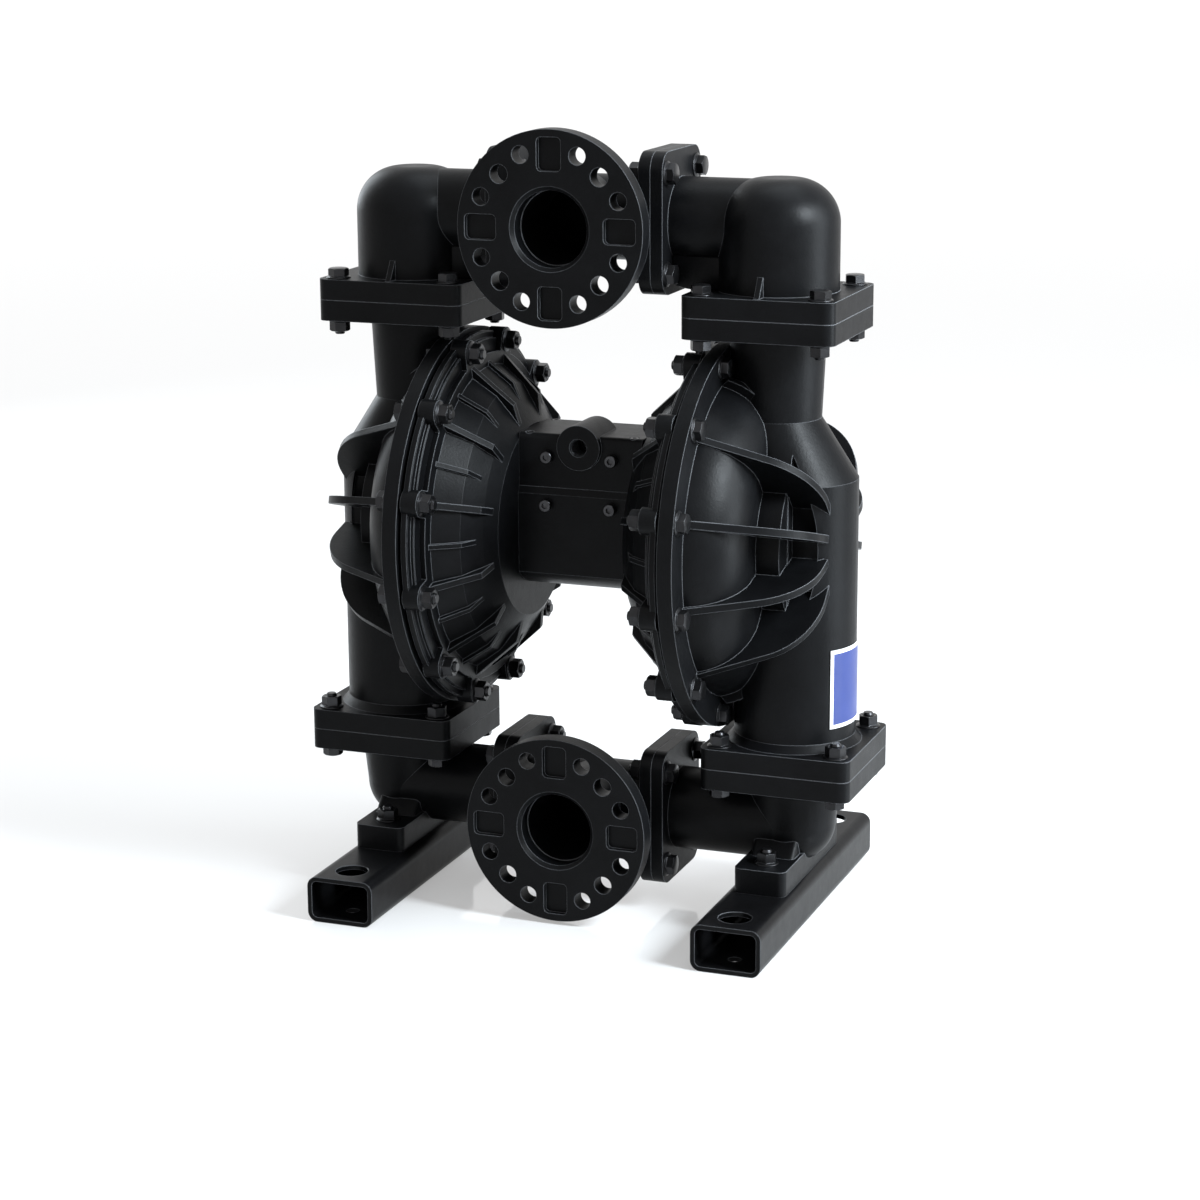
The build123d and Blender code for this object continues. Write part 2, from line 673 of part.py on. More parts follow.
with BuildPart() as fluid_cover:
    with BuildSketch(radial_plane(0)):
        with BuildLine():
            dome_line(0)
            Polyline(
                (DOME_EDGE_X, DOME_EDGE_RADIUS),
                (DOME_EDGE_X, DRUM_RADIUS),
                (DRUM_END_X, DRUM_RADIUS),
                (DRUM_END_X, 0),
                (RIM_FACE, 0),
                (RIM_FACE, FLUID_RIM_RADIUS),
                (FLUID_RIM_FACE, FLUID_RIM_RADIUS),
                (FLUID_RIM_FACE, DOME_FOOT_RADIUS),
            )
        make_face()
    revolve(axis=PUMP_AXIS)
    # Lower column with a ring at its foot
    with BuildSketch(level_plane(LOWER_COLUMN_X, INLET_SEAM_Z)):
        Circle(LOWER_COLUMN_RADIUS)
    extrude(amount=COLUMN_SHOULDER_Z - INLET_SEAM_Z)
    with BuildSketch(level_plane(LOWER_COLUMN_X, INLET_SEAM_Z + PLATE_THICKNESS)):
        Circle(BASE_RING_RADIUS)
    with BuildSketch(
        level_plane(LOWER_COLUMN_X, INLET_SEAM_Z + PLATE_THICKNESS + BASE_RING_HEIGHT)
    ):
        Circle(LOWER_COLUMN_RADIUS)
    loft()
    # Upper column, leaning in from the shoulder to its neck
    with BuildSketch(level_plane(LOWER_COLUMN_X, COLUMN_SHOULDER_Z)):
        Circle(LOWER_COLUMN_RADIUS)
    with BuildSketch(level_plane(UPPER_COLUMN_X, COLUMN_NECK_Z)):
        Circle(NECK_RADIUS)
    loft()
    with BuildSketch(level_plane(UPPER_COLUMN_X, COLUMN_NECK_Z)):
        Circle(NECK_RADIUS)
    with BuildSketch(level_plane(UPPER_COLUMN_X, OUTLET_SEAM_Z - PLATE_THICKNESS)):
        Circle(UPPER_COLUMN_RADIUS)
    loft()
    clamp_plate(LOWER_COLUMN_X, INLET_SEAM_Z)
    clamp_plate(UPPER_COLUMN_X, OUTLET_SEAM_Z - PLATE_THICKNESS)
    # Hollows in the front and back of the column, beside the drum
    for hollow_plane in (front_plane(-HOLLOW_FLOOR_Y, AXIS_Z), back_plane(HOLLOW_FLOOR_Y, AXIS_Z)):
        with BuildSketch(hollow_plane):
            with BuildLine():
                start = hollow_plane.x_dir.X * HOLLOW_START_X
                ThreePointArc(
                    (start, HOLLOW_HEIGHT / 2),
                    (hollow_plane.x_dir.X * HOLLOW_END_X, 0),
                    (start, -HOLLOW_HEIGHT / 2),
                )
                Line((start, -HOLLOW_HEIGHT / 2), (start, HOLLOW_HEIGHT / 2))
            make_face()
        extrude(amount=LOWER_COLUMN_RADIUS, mode=Mode.SUBTRACT)
    # Tall radial fins
    for angle in FIN_ANGLES:
        with BuildSketch(radial_plane(angle)):
            with BuildLine():
                Polyline(
                    (FLUID_RIM_FACE, FIN_ROOT_RADIUS),
                    (FIN_SHOULDER_X, FIN_SHOULDER_RADIUS),
                )
                ThreePointArc(
                    (FIN_SHOULDER_X, FIN_SHOULDER_RADIUS),
                    (
                        FIN_SHOULDER_X + FIN_BOW_ALONG * (FIN_TIP_X - FIN_SHOULDER_X),
                        FIN_TIP_RADIUS + FIN_BOW_ACROSS * (FIN_SHOULDER_RADIUS - FIN_TIP_RADIUS),
                    ),
                    (FIN_TIP_X, FIN_TIP_RADIUS),
                )
                Polyline(
                    (FIN_TIP_X, FIN_TIP_RADIUS),
                    (FIN_TIP_X, FIN_INNER_RADIUS),
                    (DRUM_END_X - ROOT_SINK, FIN_INNER_RADIUS),
                    (DRUM_END_X - ROOT_SINK, DRUM_RADIUS - ROOT_SINK),
                    (DOME_EDGE_X - ROOT_SINK, DRUM_RADIUS - ROOT_SINK),
                    (DOME_EDGE_X - ROOT_SINK, DOME_EDGE_RADIUS - ROOT_SINK),
                    (FLUID_RIM_FACE, DOME_FOOT_RADIUS - 2 * ROOT_SINK),
                    (FLUID_RIM_FACE, FIN_ROOT_RADIUS),
                )
            make_face()
        extrude(amount=FIN_THICKNESS / 2, both=True)
    # Low fins that follow the dome
    for angle in HUGGING_ANGLES:
        with BuildSketch(radial_plane(angle)):
            with BuildLine():
                dome_line(HUGGING_RISE)
                Polyline(
                    (DOME_EDGE_X + HUGGING_RISE, DOME_EDGE_RADIUS + HUGGING_RISE),
                    (DOME_EDGE_X + HUGGING_RISE, DRUM_RADIUS - ROOT_SINK),
                    (DOME_EDGE_X - ROOT_SINK, DRUM_RADIUS - ROOT_SINK),
                    (DOME_EDGE_X - ROOT_SINK, DOME_EDGE_RADIUS - ROOT_SINK),
                    (FLUID_RIM_FACE - ROOT_SINK, DOME_FOOT_RADIUS - ROOT_SINK),
                    (FLUID_RIM_FACE + HUGGING_RISE, DOME_FOOT_RADIUS + HUGGING_RISE),
                )
            make_face()
        extrude(amount=FIN_THICKNESS / 2, both=True)
    # Pumping chamber
    with BuildSketch(radial_plane(0)):
        with BuildLine():
            Polyline(
                (RIM_FACE, 0),
                (RIM_FACE, CHAMBER_MOUTH),
                (FLUID_RIM_FACE, CHAMBER_MOUTH),
            )
            ThreePointArc(
                (FLUID_RIM_FACE, CHAMBER_MOUTH),
                (
                    (FLUID_RIM_FACE + DOME_EDGE_X) / 2 + DOME_BULGE - CHAMBER_WALL,
                    (DOME_FOOT_RADIUS + DOME_EDGE_RADIUS) / 2 + DOME_BULGE - CHAMBER_WALL,
                ),
                (DOME_EDGE_X - CHAMBER_WALL, DOME_EDGE_RADIUS - CHAMBER_WALL),
            )
            Polyline(
                (DOME_EDGE_X - CHAMBER_WALL, DOME_EDGE_RADIUS - CHAMBER_WALL),
                (DOME_EDGE_X - CHAMBER_WALL, DRUM_RADIUS - CHAMBER_WALL),
                (CHAMBER_END_X, DRUM_RADIUS - CHAMBER_WALL),
                (CHAMBER_END_X, 0),
                (RIM_FACE, 0),
            )
        make_face()
    revolve(axis=PUMP_AXIS, mode=Mode.SUBTRACT)
    # Ball cage, column bore and neck bore
    with BuildSketch(level_plane(LOWER_COLUMN_X, INLET_SEAM_Z)):
        Circle(CAGE_RADIUS)
    extrude(amount=CAGE_HEIGHT, mode=Mode.SUBTRACT)
    with BuildSketch(level_plane(LOWER_COLUMN_X, INLET_SEAM_Z)):
        Circle(COLUMN_BORE)
    extrude(amount=COLUMN_SHOULDER_Z - INLET_SEAM_Z, mode=Mode.SUBTRACT)
    with BuildSketch(level_plane(LOWER_COLUMN_X, COLUMN_SHOULDER_Z)):
        Circle(COLUMN_BORE)
    with BuildSketch(level_plane(UPPER_COLUMN_X, COLUMN_NECK_Z)):
        Circle(NECK_BORE)
    loft(mode=Mode.SUBTRACT)
    with BuildSketch(level_plane(UPPER_COLUMN_X, COLUMN_NECK_Z)):
        Circle(NECK_BORE)
    extrude(amount=OUTLET_SEAM_Z - COLUMN_NECK_Z, mode=Mode.SUBTRACT)
    cage_ribs(LOWER_COLUMN_X, INLET_SEAM_Z)
    seat_recess(LOWER_COLUMN_X, INLET_SEAM_Z, 1)
    seat_recess(UPPER_COLUMN_X, OUTLET_SEAM_Z, -1)
    seat_groove(UPPER_COLUMN_X, OUTLET_SEAM_Z)
    clamp_holes(LOWER_COLUMN_X, INLET_SEAM_Z)
    clamp_holes(UPPER_COLUMN_X, OUTLET_SEAM_Z - PLATE_THICKNESS)
    with BuildSketch(side_plane(RIM_FACE)):
        with PolarLocations(BOLT_CIRCLE, BOLT_COUNT, start_angle=BOLT_START_ANGLE):
            Circle(HOLE_RADIUS)
    extrude(amount=FLUID_RIM_FACE - RIM_FACE, mode=Mode.SUBTRACT)
save_pair("fluid_cover", fluid_cover.part)

# ---- Air cover ----------------------------------------------------------

with BuildPart() as air_cover:
    with BuildSketch(radial_plane(0)):
        with BuildLine():
            Polyline(
                (HUB_FACE_X, 0),
                (HUB_FACE_X, HUB_RADIUS),
                (HUB_FACE_X + HUB_THICKNESS, AIR_HEEL_RADIUS),
                (AIR_WAIST_X, AIR_WAIST_RADIUS),
                (NUT_FACE_X, AIR_CONE_RADIUS),
                (NUT_FACE_X, AIR_RIM_RADIUS),
                (AIR_RIM_FACE, AIR_RIM_RADIUS),
                (AIR_RIM_FACE, 0),
                close=True,
            )
        make_face()
    revolve(axis=PUMP_AXIS)
    with BuildSketch(side_plane(NUT_FACE_X)):
        with PolarLocations(BOLT_CIRCLE, BOLT_COUNT, start_angle=BOLT_START_ANGLE):
            Circle(LOBE_RADIUS)
        with PolarLocations(
            (BOLT_CIRCLE + AIR_CONE_RADIUS) / 2, BOLT_COUNT, start_angle=BOLT_START_ANGLE
        ):
            Rectangle(BOLT_CIRCLE - AIR_CONE_RADIUS, 2 * LOBE_RADIUS)
    extrude(amount=AIR_RIM_FACE - NUT_FACE_X)
    # Ribs up the cone to every bolt
    for count in range(BOLT_COUNT):
        with BuildSketch(radial_plane(BOLT_START_ANGLE + 360 / BOLT_COUNT * count)):
            with BuildLine():
                Polyline(
                    (NUT_FACE_X, AIR_RIB_ROOT),
                    (AIR_RIB_KNEE_X, AIR_RIB_KNEE_RADIUS),
                    (HUB_FACE_X + ROOT_SINK / 2, HUB_RADIUS - ROOT_SINK),
                    (HUB_FACE_X + HUB_THICKNESS - ROOT_SINK, HUB_RADIUS),
                    (AIR_WAIST_X, AIR_WAIST_RADIUS - ROOT_SINK),
                    (NUT_FACE_X, AIR_CONE_RADIUS - ROOT_SINK),
                    close=True,
                )
            make_face()
        extrude(amount=AIR_RIB_THICKNESS / 2, both=True)
    # Lower ribs half way between the bolts
    for count in range(BOLT_COUNT):
        with BuildSketch(radial_plane(360 / BOLT_COUNT * count)):
            with BuildLine():
                Polyline(
                    (NUT_FACE_X, AIR_CONE_RADIUS + SMALL_RIB_RISE),
                    (AIR_WAIST_X - SMALL_RIB_CREST, AIR_WAIST_RADIUS + SMALL_RIB_CREST),
                    (HUB_FACE_X + HUB_THICKNESS, AIR_HEEL_RADIUS - ROOT_SINK),
                    (AIR_WAIST_X, AIR_WAIST_RADIUS - ROOT_SINK),
                    (NUT_FACE_X, AIR_CONE_RADIUS - ROOT_SINK),
                    close=True,
                )
            make_face()
        extrude(amount=SMALL_RIB_THICKNESS / 2, both=True)
    # Air chamber
    with BuildSketch(radial_plane(0)):
        with BuildLine():
            Polyline(
                (AIR_RIM_FACE, 0),
                (AIR_RIM_FACE, AIR_CHAMBER_MOUTH),
                (AIR_RIM_FACE - HUB_THICKNESS, AIR_CHAMBER_MOUTH),
                (HUB_FACE_X + HUB_THICKNESS, AIR_CHAMBER_FLOOR),
                (HUB_FACE_X + HUB_THICKNESS, 0),
                close=True,
            )
        make_face()
    revolve(axis=PUMP_AXIS, mode=Mode.SUBTRACT)
    with BuildSketch(side_plane(NUT_FACE_X)):
        with PolarLocations(BOLT_CIRCLE, BOLT_COUNT, start_angle=BOLT_START_ANGLE):
            Circle(HOLE_RADIUS)
    extrude(amount=AIR_RIM_FACE - NUT_FACE_X, mode=Mode.SUBTRACT)
    with BuildSketch(side_plane(HUB_FACE_X)):
        Circle(HUB_HOLE_RADIUS)
        with PolarLocations(HUB_SCREW_CIRCLE, 4, start_angle=45):
            Circle(SCREW_RADIUS + 2 * PIN_HUB_GAP)
        with Locations((0, PIN_Z - AXIS_Z)):
            Circle(PIN_RADIUS + PIN_HUB_GAP)
        with Locations((PASSAGE_Y, PASSAGE_Z - AXIS_Z)):
            Circle(PASSAGE_RADIUS)
    extrude(amount=HUB_THICKNESS, mode=Mode.SUBTRACT)
save_pair("air_cover", air_cover.part)

# ---- Diaphragm, discs and shaft -----------------------------------------

with BuildPart() as diaphragm:
    outer_depth = CONVOLUTION_DEPTH + DIAPHRAGM_THICKNESS
    outer_half = sqrt(outer_depth**2 - DIAPHRAGM_THICKNESS**2)
    with BuildSketch(radial_plane(0)):
        with BuildLine():
            Line(
                (RIM_FACE, STUD_RADIUS + PLATE_GAP),
                (RIM_FACE, CONVOLUTION_RADIUS - CONVOLUTION_DEPTH),
            )
            ThreePointArc(
                (RIM_FACE, CONVOLUTION_RADIUS - CONVOLUTION_DEPTH),
                (RIM_FACE - CONVOLUTION_DEPTH, CONVOLUTION_RADIUS),
                (RIM_FACE, CONVOLUTION_RADIUS + CONVOLUTION_DEPTH),
            )
            Polyline(
                (RIM_FACE, CONVOLUTION_RADIUS + CONVOLUTION_DEPTH),
                (RIM_FACE, DIAPHRAGM_RADIUS),
                (AIR_RIM_FACE, DIAPHRAGM_RADIUS),
                (AIR_RIM_FACE, CONVOLUTION_RADIUS + outer_half),
            )
            ThreePointArc(
                (AIR_RIM_FACE, CONVOLUTION_RADIUS + outer_half),
                (RIM_FACE - outer_depth, CONVOLUTION_RADIUS),
                (AIR_RIM_FACE, CONVOLUTION_RADIUS - outer_half),
            )
            Polyline(
                (AIR_RIM_FACE, CONVOLUTION_RADIUS - outer_half),
                (AIR_RIM_FACE, STUD_RADIUS + PLATE_GAP),
                (RIM_FACE, STUD_RADIUS + PLATE_GAP),
            )
        make_face()
    revolve(axis=PUMP_AXIS)
save_pair("diaphragm", diaphragm.part)

with BuildPart() as inner_disc:
    cross_pipe(SHAFT_END_X, INNER_DISC_FACE, AXIS_Z, DISC_RADIUS)
    fillet(inner_disc.edges().group_by(Axis.X)[0], DISC_ROUND)
    cross_pipe(SHAFT_END_X, INNER_DISC_FACE, AXIS_Z, STUD_RADIUS, Mode.SUBTRACT)
save_pair("inner_disc", inner_disc.part)

with BuildPart() as outer_disc:
    cross_pipe(OUTER_DISC_FACE, OUTER_DISC_FACE + OUTER_DISC_THICKNESS, AXIS_Z, DISC_RADIUS)
    fillet(outer_disc.edges().group_by(Axis.X)[-1], DISC_ROUND)
    with BuildSketch(side_plane(OUTER_DISC_FACE + OUTER_DISC_THICKNESS)):
        Circle(OUTER_HUB_RADIUS)
    extrude(amount=OUTER_HUB_HEIGHT, taper=20)
    cross_pipe(OUTER_DISC_FACE, SHAFT_END_X + STUD_LENGTH, AXIS_Z, STUD_RADIUS, Mode.SUBTRACT)
save_pair("outer_disc", outer_disc.part)

with BuildPart() as shaft:
    cross_pipe(-SHAFT_END_X, SHAFT_END_X, AXIS_Z, SHAFT_RADIUS)
    cross_pipe(-SHAFT_END_X - STUD_LENGTH, SHAFT_END_X + STUD_LENGTH, AXIS_Z, STUD_RADIUS)
save("shaft", shaft.part)

# ---- Centre block -------------------------------------------------------

with BuildPart() as centre_block:
    half_chord = sqrt(BLOCK_ROUND**2 - BLOCK_HALF_DEPTH**2)
    top = BLOCK_SEAM_Z - AXIS_Z
    with BuildSketch(side_plane(-HUB_FACE_X)):
        with BuildLine():
            Polyline(
                (BLOCK_HALF_DEPTH, -half_chord),
                (BLOCK_HALF_DEPTH, top - LEDGE_HEIGHT),
                (VALVE_HALF_DEPTH, top),
                (-VALVE_HALF_DEPTH, top),
                (-BLOCK_HALF_DEPTH, top - LEDGE_HEIGHT),
                (-BLOCK_HALF_DEPTH, -half_chord),
            )
            ThreePointArc(
                (-BLOCK_HALF_DEPTH, -half_chord),
                (0, -BLOCK_ROUND),
                (BLOCK_HALF_DEPTH, -half_chord),
            )
        make_face()
    extrude(amount=2 * HUB_FACE_X)
    with BuildSketch(back_plane(0, EXHAUST_Z)):
        Circle(EXHAUST_BOSS_RADIUS)
    extrude(amount=EXHAUST_FACE_Y)
    cross_pipe(-HUB_FACE_X, HUB_FACE_X, AXIS_Z, BEARING_RADIUS, Mode.SUBTRACT)
    for end_plane in (side_plane(HUB_FACE_X), inner_plane(-HUB_FACE_X)):
        with BuildSketch(end_plane):
            with PolarLocations(HUB_SCREW_CIRCLE, 4, start_angle=45):
                Circle(SCREW_RADIUS)
        extrude(amount=-HUB_SCREW_DEPTH, mode=Mode.SUBTRACT)
    cross_pipe(-HUB_FACE_X, HUB_FACE_X, PIN_Z, PIN_RADIUS + RUNNING_GAP, Mode.SUBTRACT)
    with BuildSketch(back_plane(EXHAUST_FACE_Y, EXHAUST_Z)):
        Circle(EXHAUST_RADIUS)
    extrude(amount=-EXHAUST_DEPTH, mode=Mode.SUBTRACT)
    # Chimney from the exhaust bore up to the valve block
    with BuildSketch(Plane.XY.offset(BLOCK_SEAM_Z)):
        with Locations((0, EXHAUST_FACE_Y - EXHAUST_DEPTH)):
            Rectangle(2 * EXHAUST_CHIMNEY, EXHAUST_CHIMNEY)
    extrude(amount=EXHAUST_Z - BLOCK_SEAM_Z, mode=Mode.SUBTRACT)
    with BuildSketch(Plane.XY.offset(BLOCK_SEAM_Z)):
        with GridLocations(2 * VALVE_SCREW_X, 2 * VALVE_SCREW_Y, 2, 2):
            Circle(SMALL_SCREW_RADIUS)
    extrude(amount=-FRONT_SCREW_LENGTH, mode=Mode.SUBTRACT)
    with BuildSketch(front_plane(-BLOCK_HALF_DEPTH, LOWER_FRONT_SCREW_Z)):
        with GridLocations(2 * FRONT_SCREW_X, 0, 2, 1):
            Circle(SCREW_RADIUS)
    extrude(amount=-FRONT_SCREW_LENGTH, mode=Mode.SUBTRACT)
save("centre_block", centre_block.part)

with BuildPart() as shaft_bearings:
    for start in (BEARING_INNER_X, -BEARING_OUTER_X):
        with BuildSketch(side_plane(start)):
            Circle(BEARING_RADIUS)
            Circle(SHAFT_RADIUS + RUNNING_GAP, mode=Mode.SUBTRACT)
        extrude(amount=BEARING_OUTER_X - BEARING_INNER_X)
save("shaft_bearings", shaft_bearings.part)

with BuildPart() as shaft_seals:
    for start in (BEARING_OUTER_X, -HUB_FACE_X):
        with BuildSketch(side_plane(start)):
            Circle(BEARING_RADIUS)
            Circle(SHAFT_RADIUS + SHAFT_SEAL_GAP, mode=Mode.SUBTRACT)
        extrude(amount=HUB_FACE_X - BEARING_OUTER_X)
save("shaft_seals", shaft_seals.part)

with BuildPart() as pilot_pin:
    cross_pipe(PIN_END_X - PIN_LENGTH, PIN_END_X, PIN_Z, PIN_RADIUS)
save_pair("pilot_pin", pilot_pin.part)


hub_screw = socket_screw(
    HUB_THICKNESS + HUB_SCREW_DEPTH, SCREW_RADIUS, SCREW_HEAD_RADIUS, SCREW_HEAD_HEIGHT
)
with BuildPart() as hub_screws:
    with Locations(side_plane(HUB_FACE_X + HUB_THICKNESS)):
        with PolarLocations(HUB_SCREW_CIRCLE, 4, start_angle=45):
            add(hub_screw)
save_pair("hub_screws", hub_screws.part)

# ---- Air valve ----------------------------------------------------------

with BuildPart() as valve_block:
    with BuildSketch(Plane.XY.offset(BLOCK_SEAM_Z)):
        Rectangle(2 * HUB_FACE_X, 2 * VALVE_HALF_DEPTH)
    extrude(amount=VALVE_TOP_Z - BLOCK_SEAM_Z)
    top_edges = valve_block.edges().group_by(Axis.Z)[-1].filter_by(Axis.X)
    fillet(top_edges, VALVE_ROUND)
    with BuildSketch(front_plane(-PORT_FACE_Y, PORT_Z)):
        Circle(PORT_BOSS_RADIUS)
    extrude(amount=-PORT_BOSS_LENGTH)
    cross_pipe(-HUB_FACE_X, HUB_FACE_X, SPOOL_Z, SLEEVE_RADIUS, Mode.SUBTRACT)
    with BuildSketch(front_plane(-PORT_FACE_Y, PORT_Z)):
        Circle(PORT_RADIUS)
    extrude(amount=-PORT_DEPTH, mode=Mode.SUBTRACT)
    with BuildSketch(front_plane(-PORT_FACE_Y, PORT_Z)):
        Circle(PORT_PASSAGE_RADIUS)
    extrude(amount=-PORT_PASSAGE_DEPTH, mode=Mode.SUBTRACT)
    # Air passages from the sleeve to both air chambers
    for side in (-1, 1):
        with BuildSketch(side_plane(side * HUB_FACE_X, PASSAGE_Z)):
            with Locations((PASSAGE_Y, 0)):
                Circle(PASSAGE_RADIUS)
        extrude(amount=side * (PASSAGE_END_X - HUB_FACE_X), mode=Mode.SUBTRACT)
        with BuildSketch(side_plane(side * PASSAGE_END_X, PASSAGE_Z)):
            with Locations((PASSAGE_Y / 2, PASSAGE_RADIUS)):
                Rectangle(-PASSAGE_Y, 2 * PASSAGE_RADIUS)
        extrude(amount=side * 2 * PASSAGE_RADIUS, mode=Mode.SUBTRACT)
    # Chimney from the exhaust bore to the back of the sleeve
    with BuildSketch(Plane.XY.offset(BLOCK_SEAM_Z)):
        with Locations((0, EXHAUST_FACE_Y - EXHAUST_DEPTH)):
            Rectangle(2 * EXHAUST_CHIMNEY, 2 * EXHAUST_CHIMNEY)
    extrude(amount=SPOOL_Z - BLOCK_SEAM_Z, mode=Mode.SUBTRACT)
    with BuildSketch(Plane.XY.offset(BLOCK_SEAM_Z)):
        with GridLocations(2 * VALVE_SCREW_X, 2 * VALVE_SCREW_Y, 2, 2):
            Circle(SMALL_SCREW_RADIUS)
    extrude(amount=VALVE_TOP_Z - BLOCK_SEAM_Z, mode=Mode.SUBTRACT)
    with BuildSketch(Plane.XY.offset(VALVE_TOP_Z)):
        with GridLocations(2 * VALVE_SCREW_X, 2 * VALVE_SCREW_Y, 2, 2):
            Circle(SMALL_SCREW_HEAD_RADIUS + PIN_HUB_GAP)
    extrude(amount=-SMALL_SCREW_HEAD_HEIGHT, mode=Mode.SUBTRACT)
    with BuildSketch(front_plane(-VALVE_HALF_DEPTH, UPPER_FRONT_SCREW_Z)):
        with GridLocations(2 * FRONT_SCREW_X, 0, 2, 1):
            Circle(SCREW_RADIUS)
    extrude(amount=-FRONT_SCREW_LENGTH, mode=Mode.SUBTRACT)
save("valve_block", valve_block.part)

with BuildPart() as valve_sleeve:
    cross_pipe(-SLEEVE_LENGTH / 2, SLEEVE_LENGTH / 2, SPOOL_Z, SLEEVE_RADIUS)
    cross_pipe(
        -SLEEVE_LENGTH / 2,
        SLEEVE_LENGTH / 2,
        SPOOL_Z,
        SPOOL_RADIUS + RUNNING_GAP,
        Mode.SUBTRACT,
    )
    with Locations(
        (-SLEEVE_PORT_PITCH, 0, SPOOL_Z), (0, 0, SPOOL_Z), (SLEEVE_PORT_PITCH, 0, SPOOL_Z)
    ):
        for lean in (-45, 45):
            Cylinder(
                SLEEVE_PORT_RADIUS, 3 * SLEEVE_RADIUS, rotation=(lean, 0, 0), mode=Mode.SUBTRACT
            )
save("valve_sleeve", valve_sleeve.part)

with BuildPart() as valve_plugs:
    for start in (SLEEVE_LENGTH / 2, -HUB_FACE_X):
        cross_pipe(start, start + HUB_FACE_X - SLEEVE_LENGTH / 2, SPOOL_Z, SLEEVE_RADIUS)
save("valve_plugs", valve_plugs.part)

with BuildPart() as valve_spool:
    cross_pipe(-SPOOL_LENGTH / 2, SPOOL_LENGTH / 2, SPOOL_Z, SPOOL_WAIST_RADIUS)
    for start in (-SPOOL_LENGTH / 2, -SPOOL_LAND / 2, SPOOL_LENGTH / 2 - SPOOL_LAND):
        cross_pipe(start, start + SPOOL_LAND, SPOOL_Z, SPOOL_RADIUS)
save("valve_spool", valve_spool.part)

valve_screw = socket_screw(
    VALVE_TOP_Z - SMALL_SCREW_HEAD_HEIGHT - BLOCK_SEAM_Z + FRONT_SCREW_LENGTH,
    SMALL_SCREW_RADIUS,
    SMALL_SCREW_HEAD_RADIUS,
    SMALL_SCREW_HEAD_HEIGHT,
)
with BuildPart() as valve_screws:
    with Locations((0, 0, VALVE_TOP_Z - SMALL_SCREW_HEAD_HEIGHT)):
        with GridLocations(2 * VALVE_SCREW_X, 2 * VALVE_SCREW_Y, 2, 2):
            add(valve_screw)
save("valve_screws", valve_screws.part)

front_screw = socket_screw(
    FRONT_SCREW_LENGTH, SCREW_RADIUS, SCREW_HEAD_RADIUS, SCREW_HEAD_HEIGHT
)
with BuildPart() as front_screws:
    for face in (
        front_plane(-VALVE_HALF_DEPTH, UPPER_FRONT_SCREW_Z),
        front_plane(-BLOCK_HALF_DEPTH, LOWER_FRONT_SCREW_Z),
    ):
        with Locations(face):
            with GridLocations(2 * FRONT_SCREW_X, 0, 2, 1):
                add(front_screw)
save("front_screws", front_screws.part)

with BuildPart() as muffler:
    with BuildSketch(back_plane(EXHAUST_FACE_Y, EXHAUST_Z)):
        Circle(EXHAUST_RADIUS)
    extrude(amount=-MUFFLER_NECK_LENGTH)
    with BuildSketch(back_plane(EXHAUST_FACE_Y, EXHAUST_Z)):
        RegularPolygon(MUFFLER_COLLAR_RADIUS, 6, major_radius=False)
    extrude(amount=MUFFLER_COLLAR)
    with BuildSketch(back_plane(EXHAUST_FACE_Y + MUFFLER_COLLAR, EXHAUST_Z)):
        Circle(MUFFLER_RADIUS)
    extrude(amount=MUFFLER_LENGTH)
    fillet(muffler.edges().group_by(Axis.Y)[-1], MUFFLER_ROUND)
save("muffler", muffler.part)

# ---- Seats, balls and sealing rings -------------------------------------


def valve_seat(x, seam):
    """Seat clamped at the seam, with a chamfered lip for the ball."""
    with BuildPart() as seat:
        with BuildSketch(front_plane(0, seam, x)):
            with BuildLine():
                Polyline(
                    (SEAT_BORE, -SEAT_HALF),
                    (SEAT_RADIUS, -SEAT_HALF),
                    (SEAT_RADIUS, SEAT_HALF),
                    (SEAT_LIP_RADIUS, SEAT_HALF),
                    (SEAT_LIP_RADIUS, SEAT_LIP_HEIGHT),
                    (SEAT_BORE + SEAT_CHAMFER_WIDTH, SEAT_LIP_HEIGHT),
                    (SEAT_BORE, SEAT_LIP_HEIGHT - SEAT_CHAMFER_HEIGHT),
                    close=True,
                )
            make_face()
        revolve(axis=Axis((x, 0, 0), (0, 0, 1)))
    return seat.part


def valve_ball(x, seam):
    """Ball resting on its seat."""
    with BuildPart() as ball:
        with Locations((x, 0, seam + BALL_SEATED)):
            Sphere(BALL_RADIUS)
    return ball.part


save_pair("inlet_seat", valve_seat(LOWER_COLUMN_X, INLET_SEAM_Z))
save_pair("outlet_seat", valve_seat(UPPER_COLUMN_X, OUTLET_SEAM_Z))
save_pair("inlet_ball", valve_ball(LOWER_COLUMN_X, INLET_SEAM_Z))
save_pair("outlet_ball", valve_ball(UPPER_COLUMN_X, OUTLET_SEAM_Z))


def sealing_ring(plane, radius):
    """Square-section ring that fills its groove but for a little side play."""
    with BuildSketch(plane) as section:
        Circle(radius + RING_WIDTH / 2 - RING_SIDE_GAP)
        Circle(radius - RING_WIDTH / 2 + RING_SIDE_GAP, mode=Mode.SUBTRACT)
    extrude(section.sketch, amount=-RING_HEIGHT)


for name, x, seam in (
    ("inlet_seat_rings", LOWER_COLUMN_X, INLET_SEAM_Z),
    ("outlet_seat_rings", UPPER_COLUMN_X, OUTLET_SEAM_Z),
):
    with BuildPart() as seat_rings:
        sealing_ring(level_plane(x, seam - SEAT_HALF), SEAT_RING_RADIUS)
        sealing_ring(level_plane(-x, seam - SEAT_HALF), SEAT_RING_RADIUS)
    save(name, seat_rings.part)

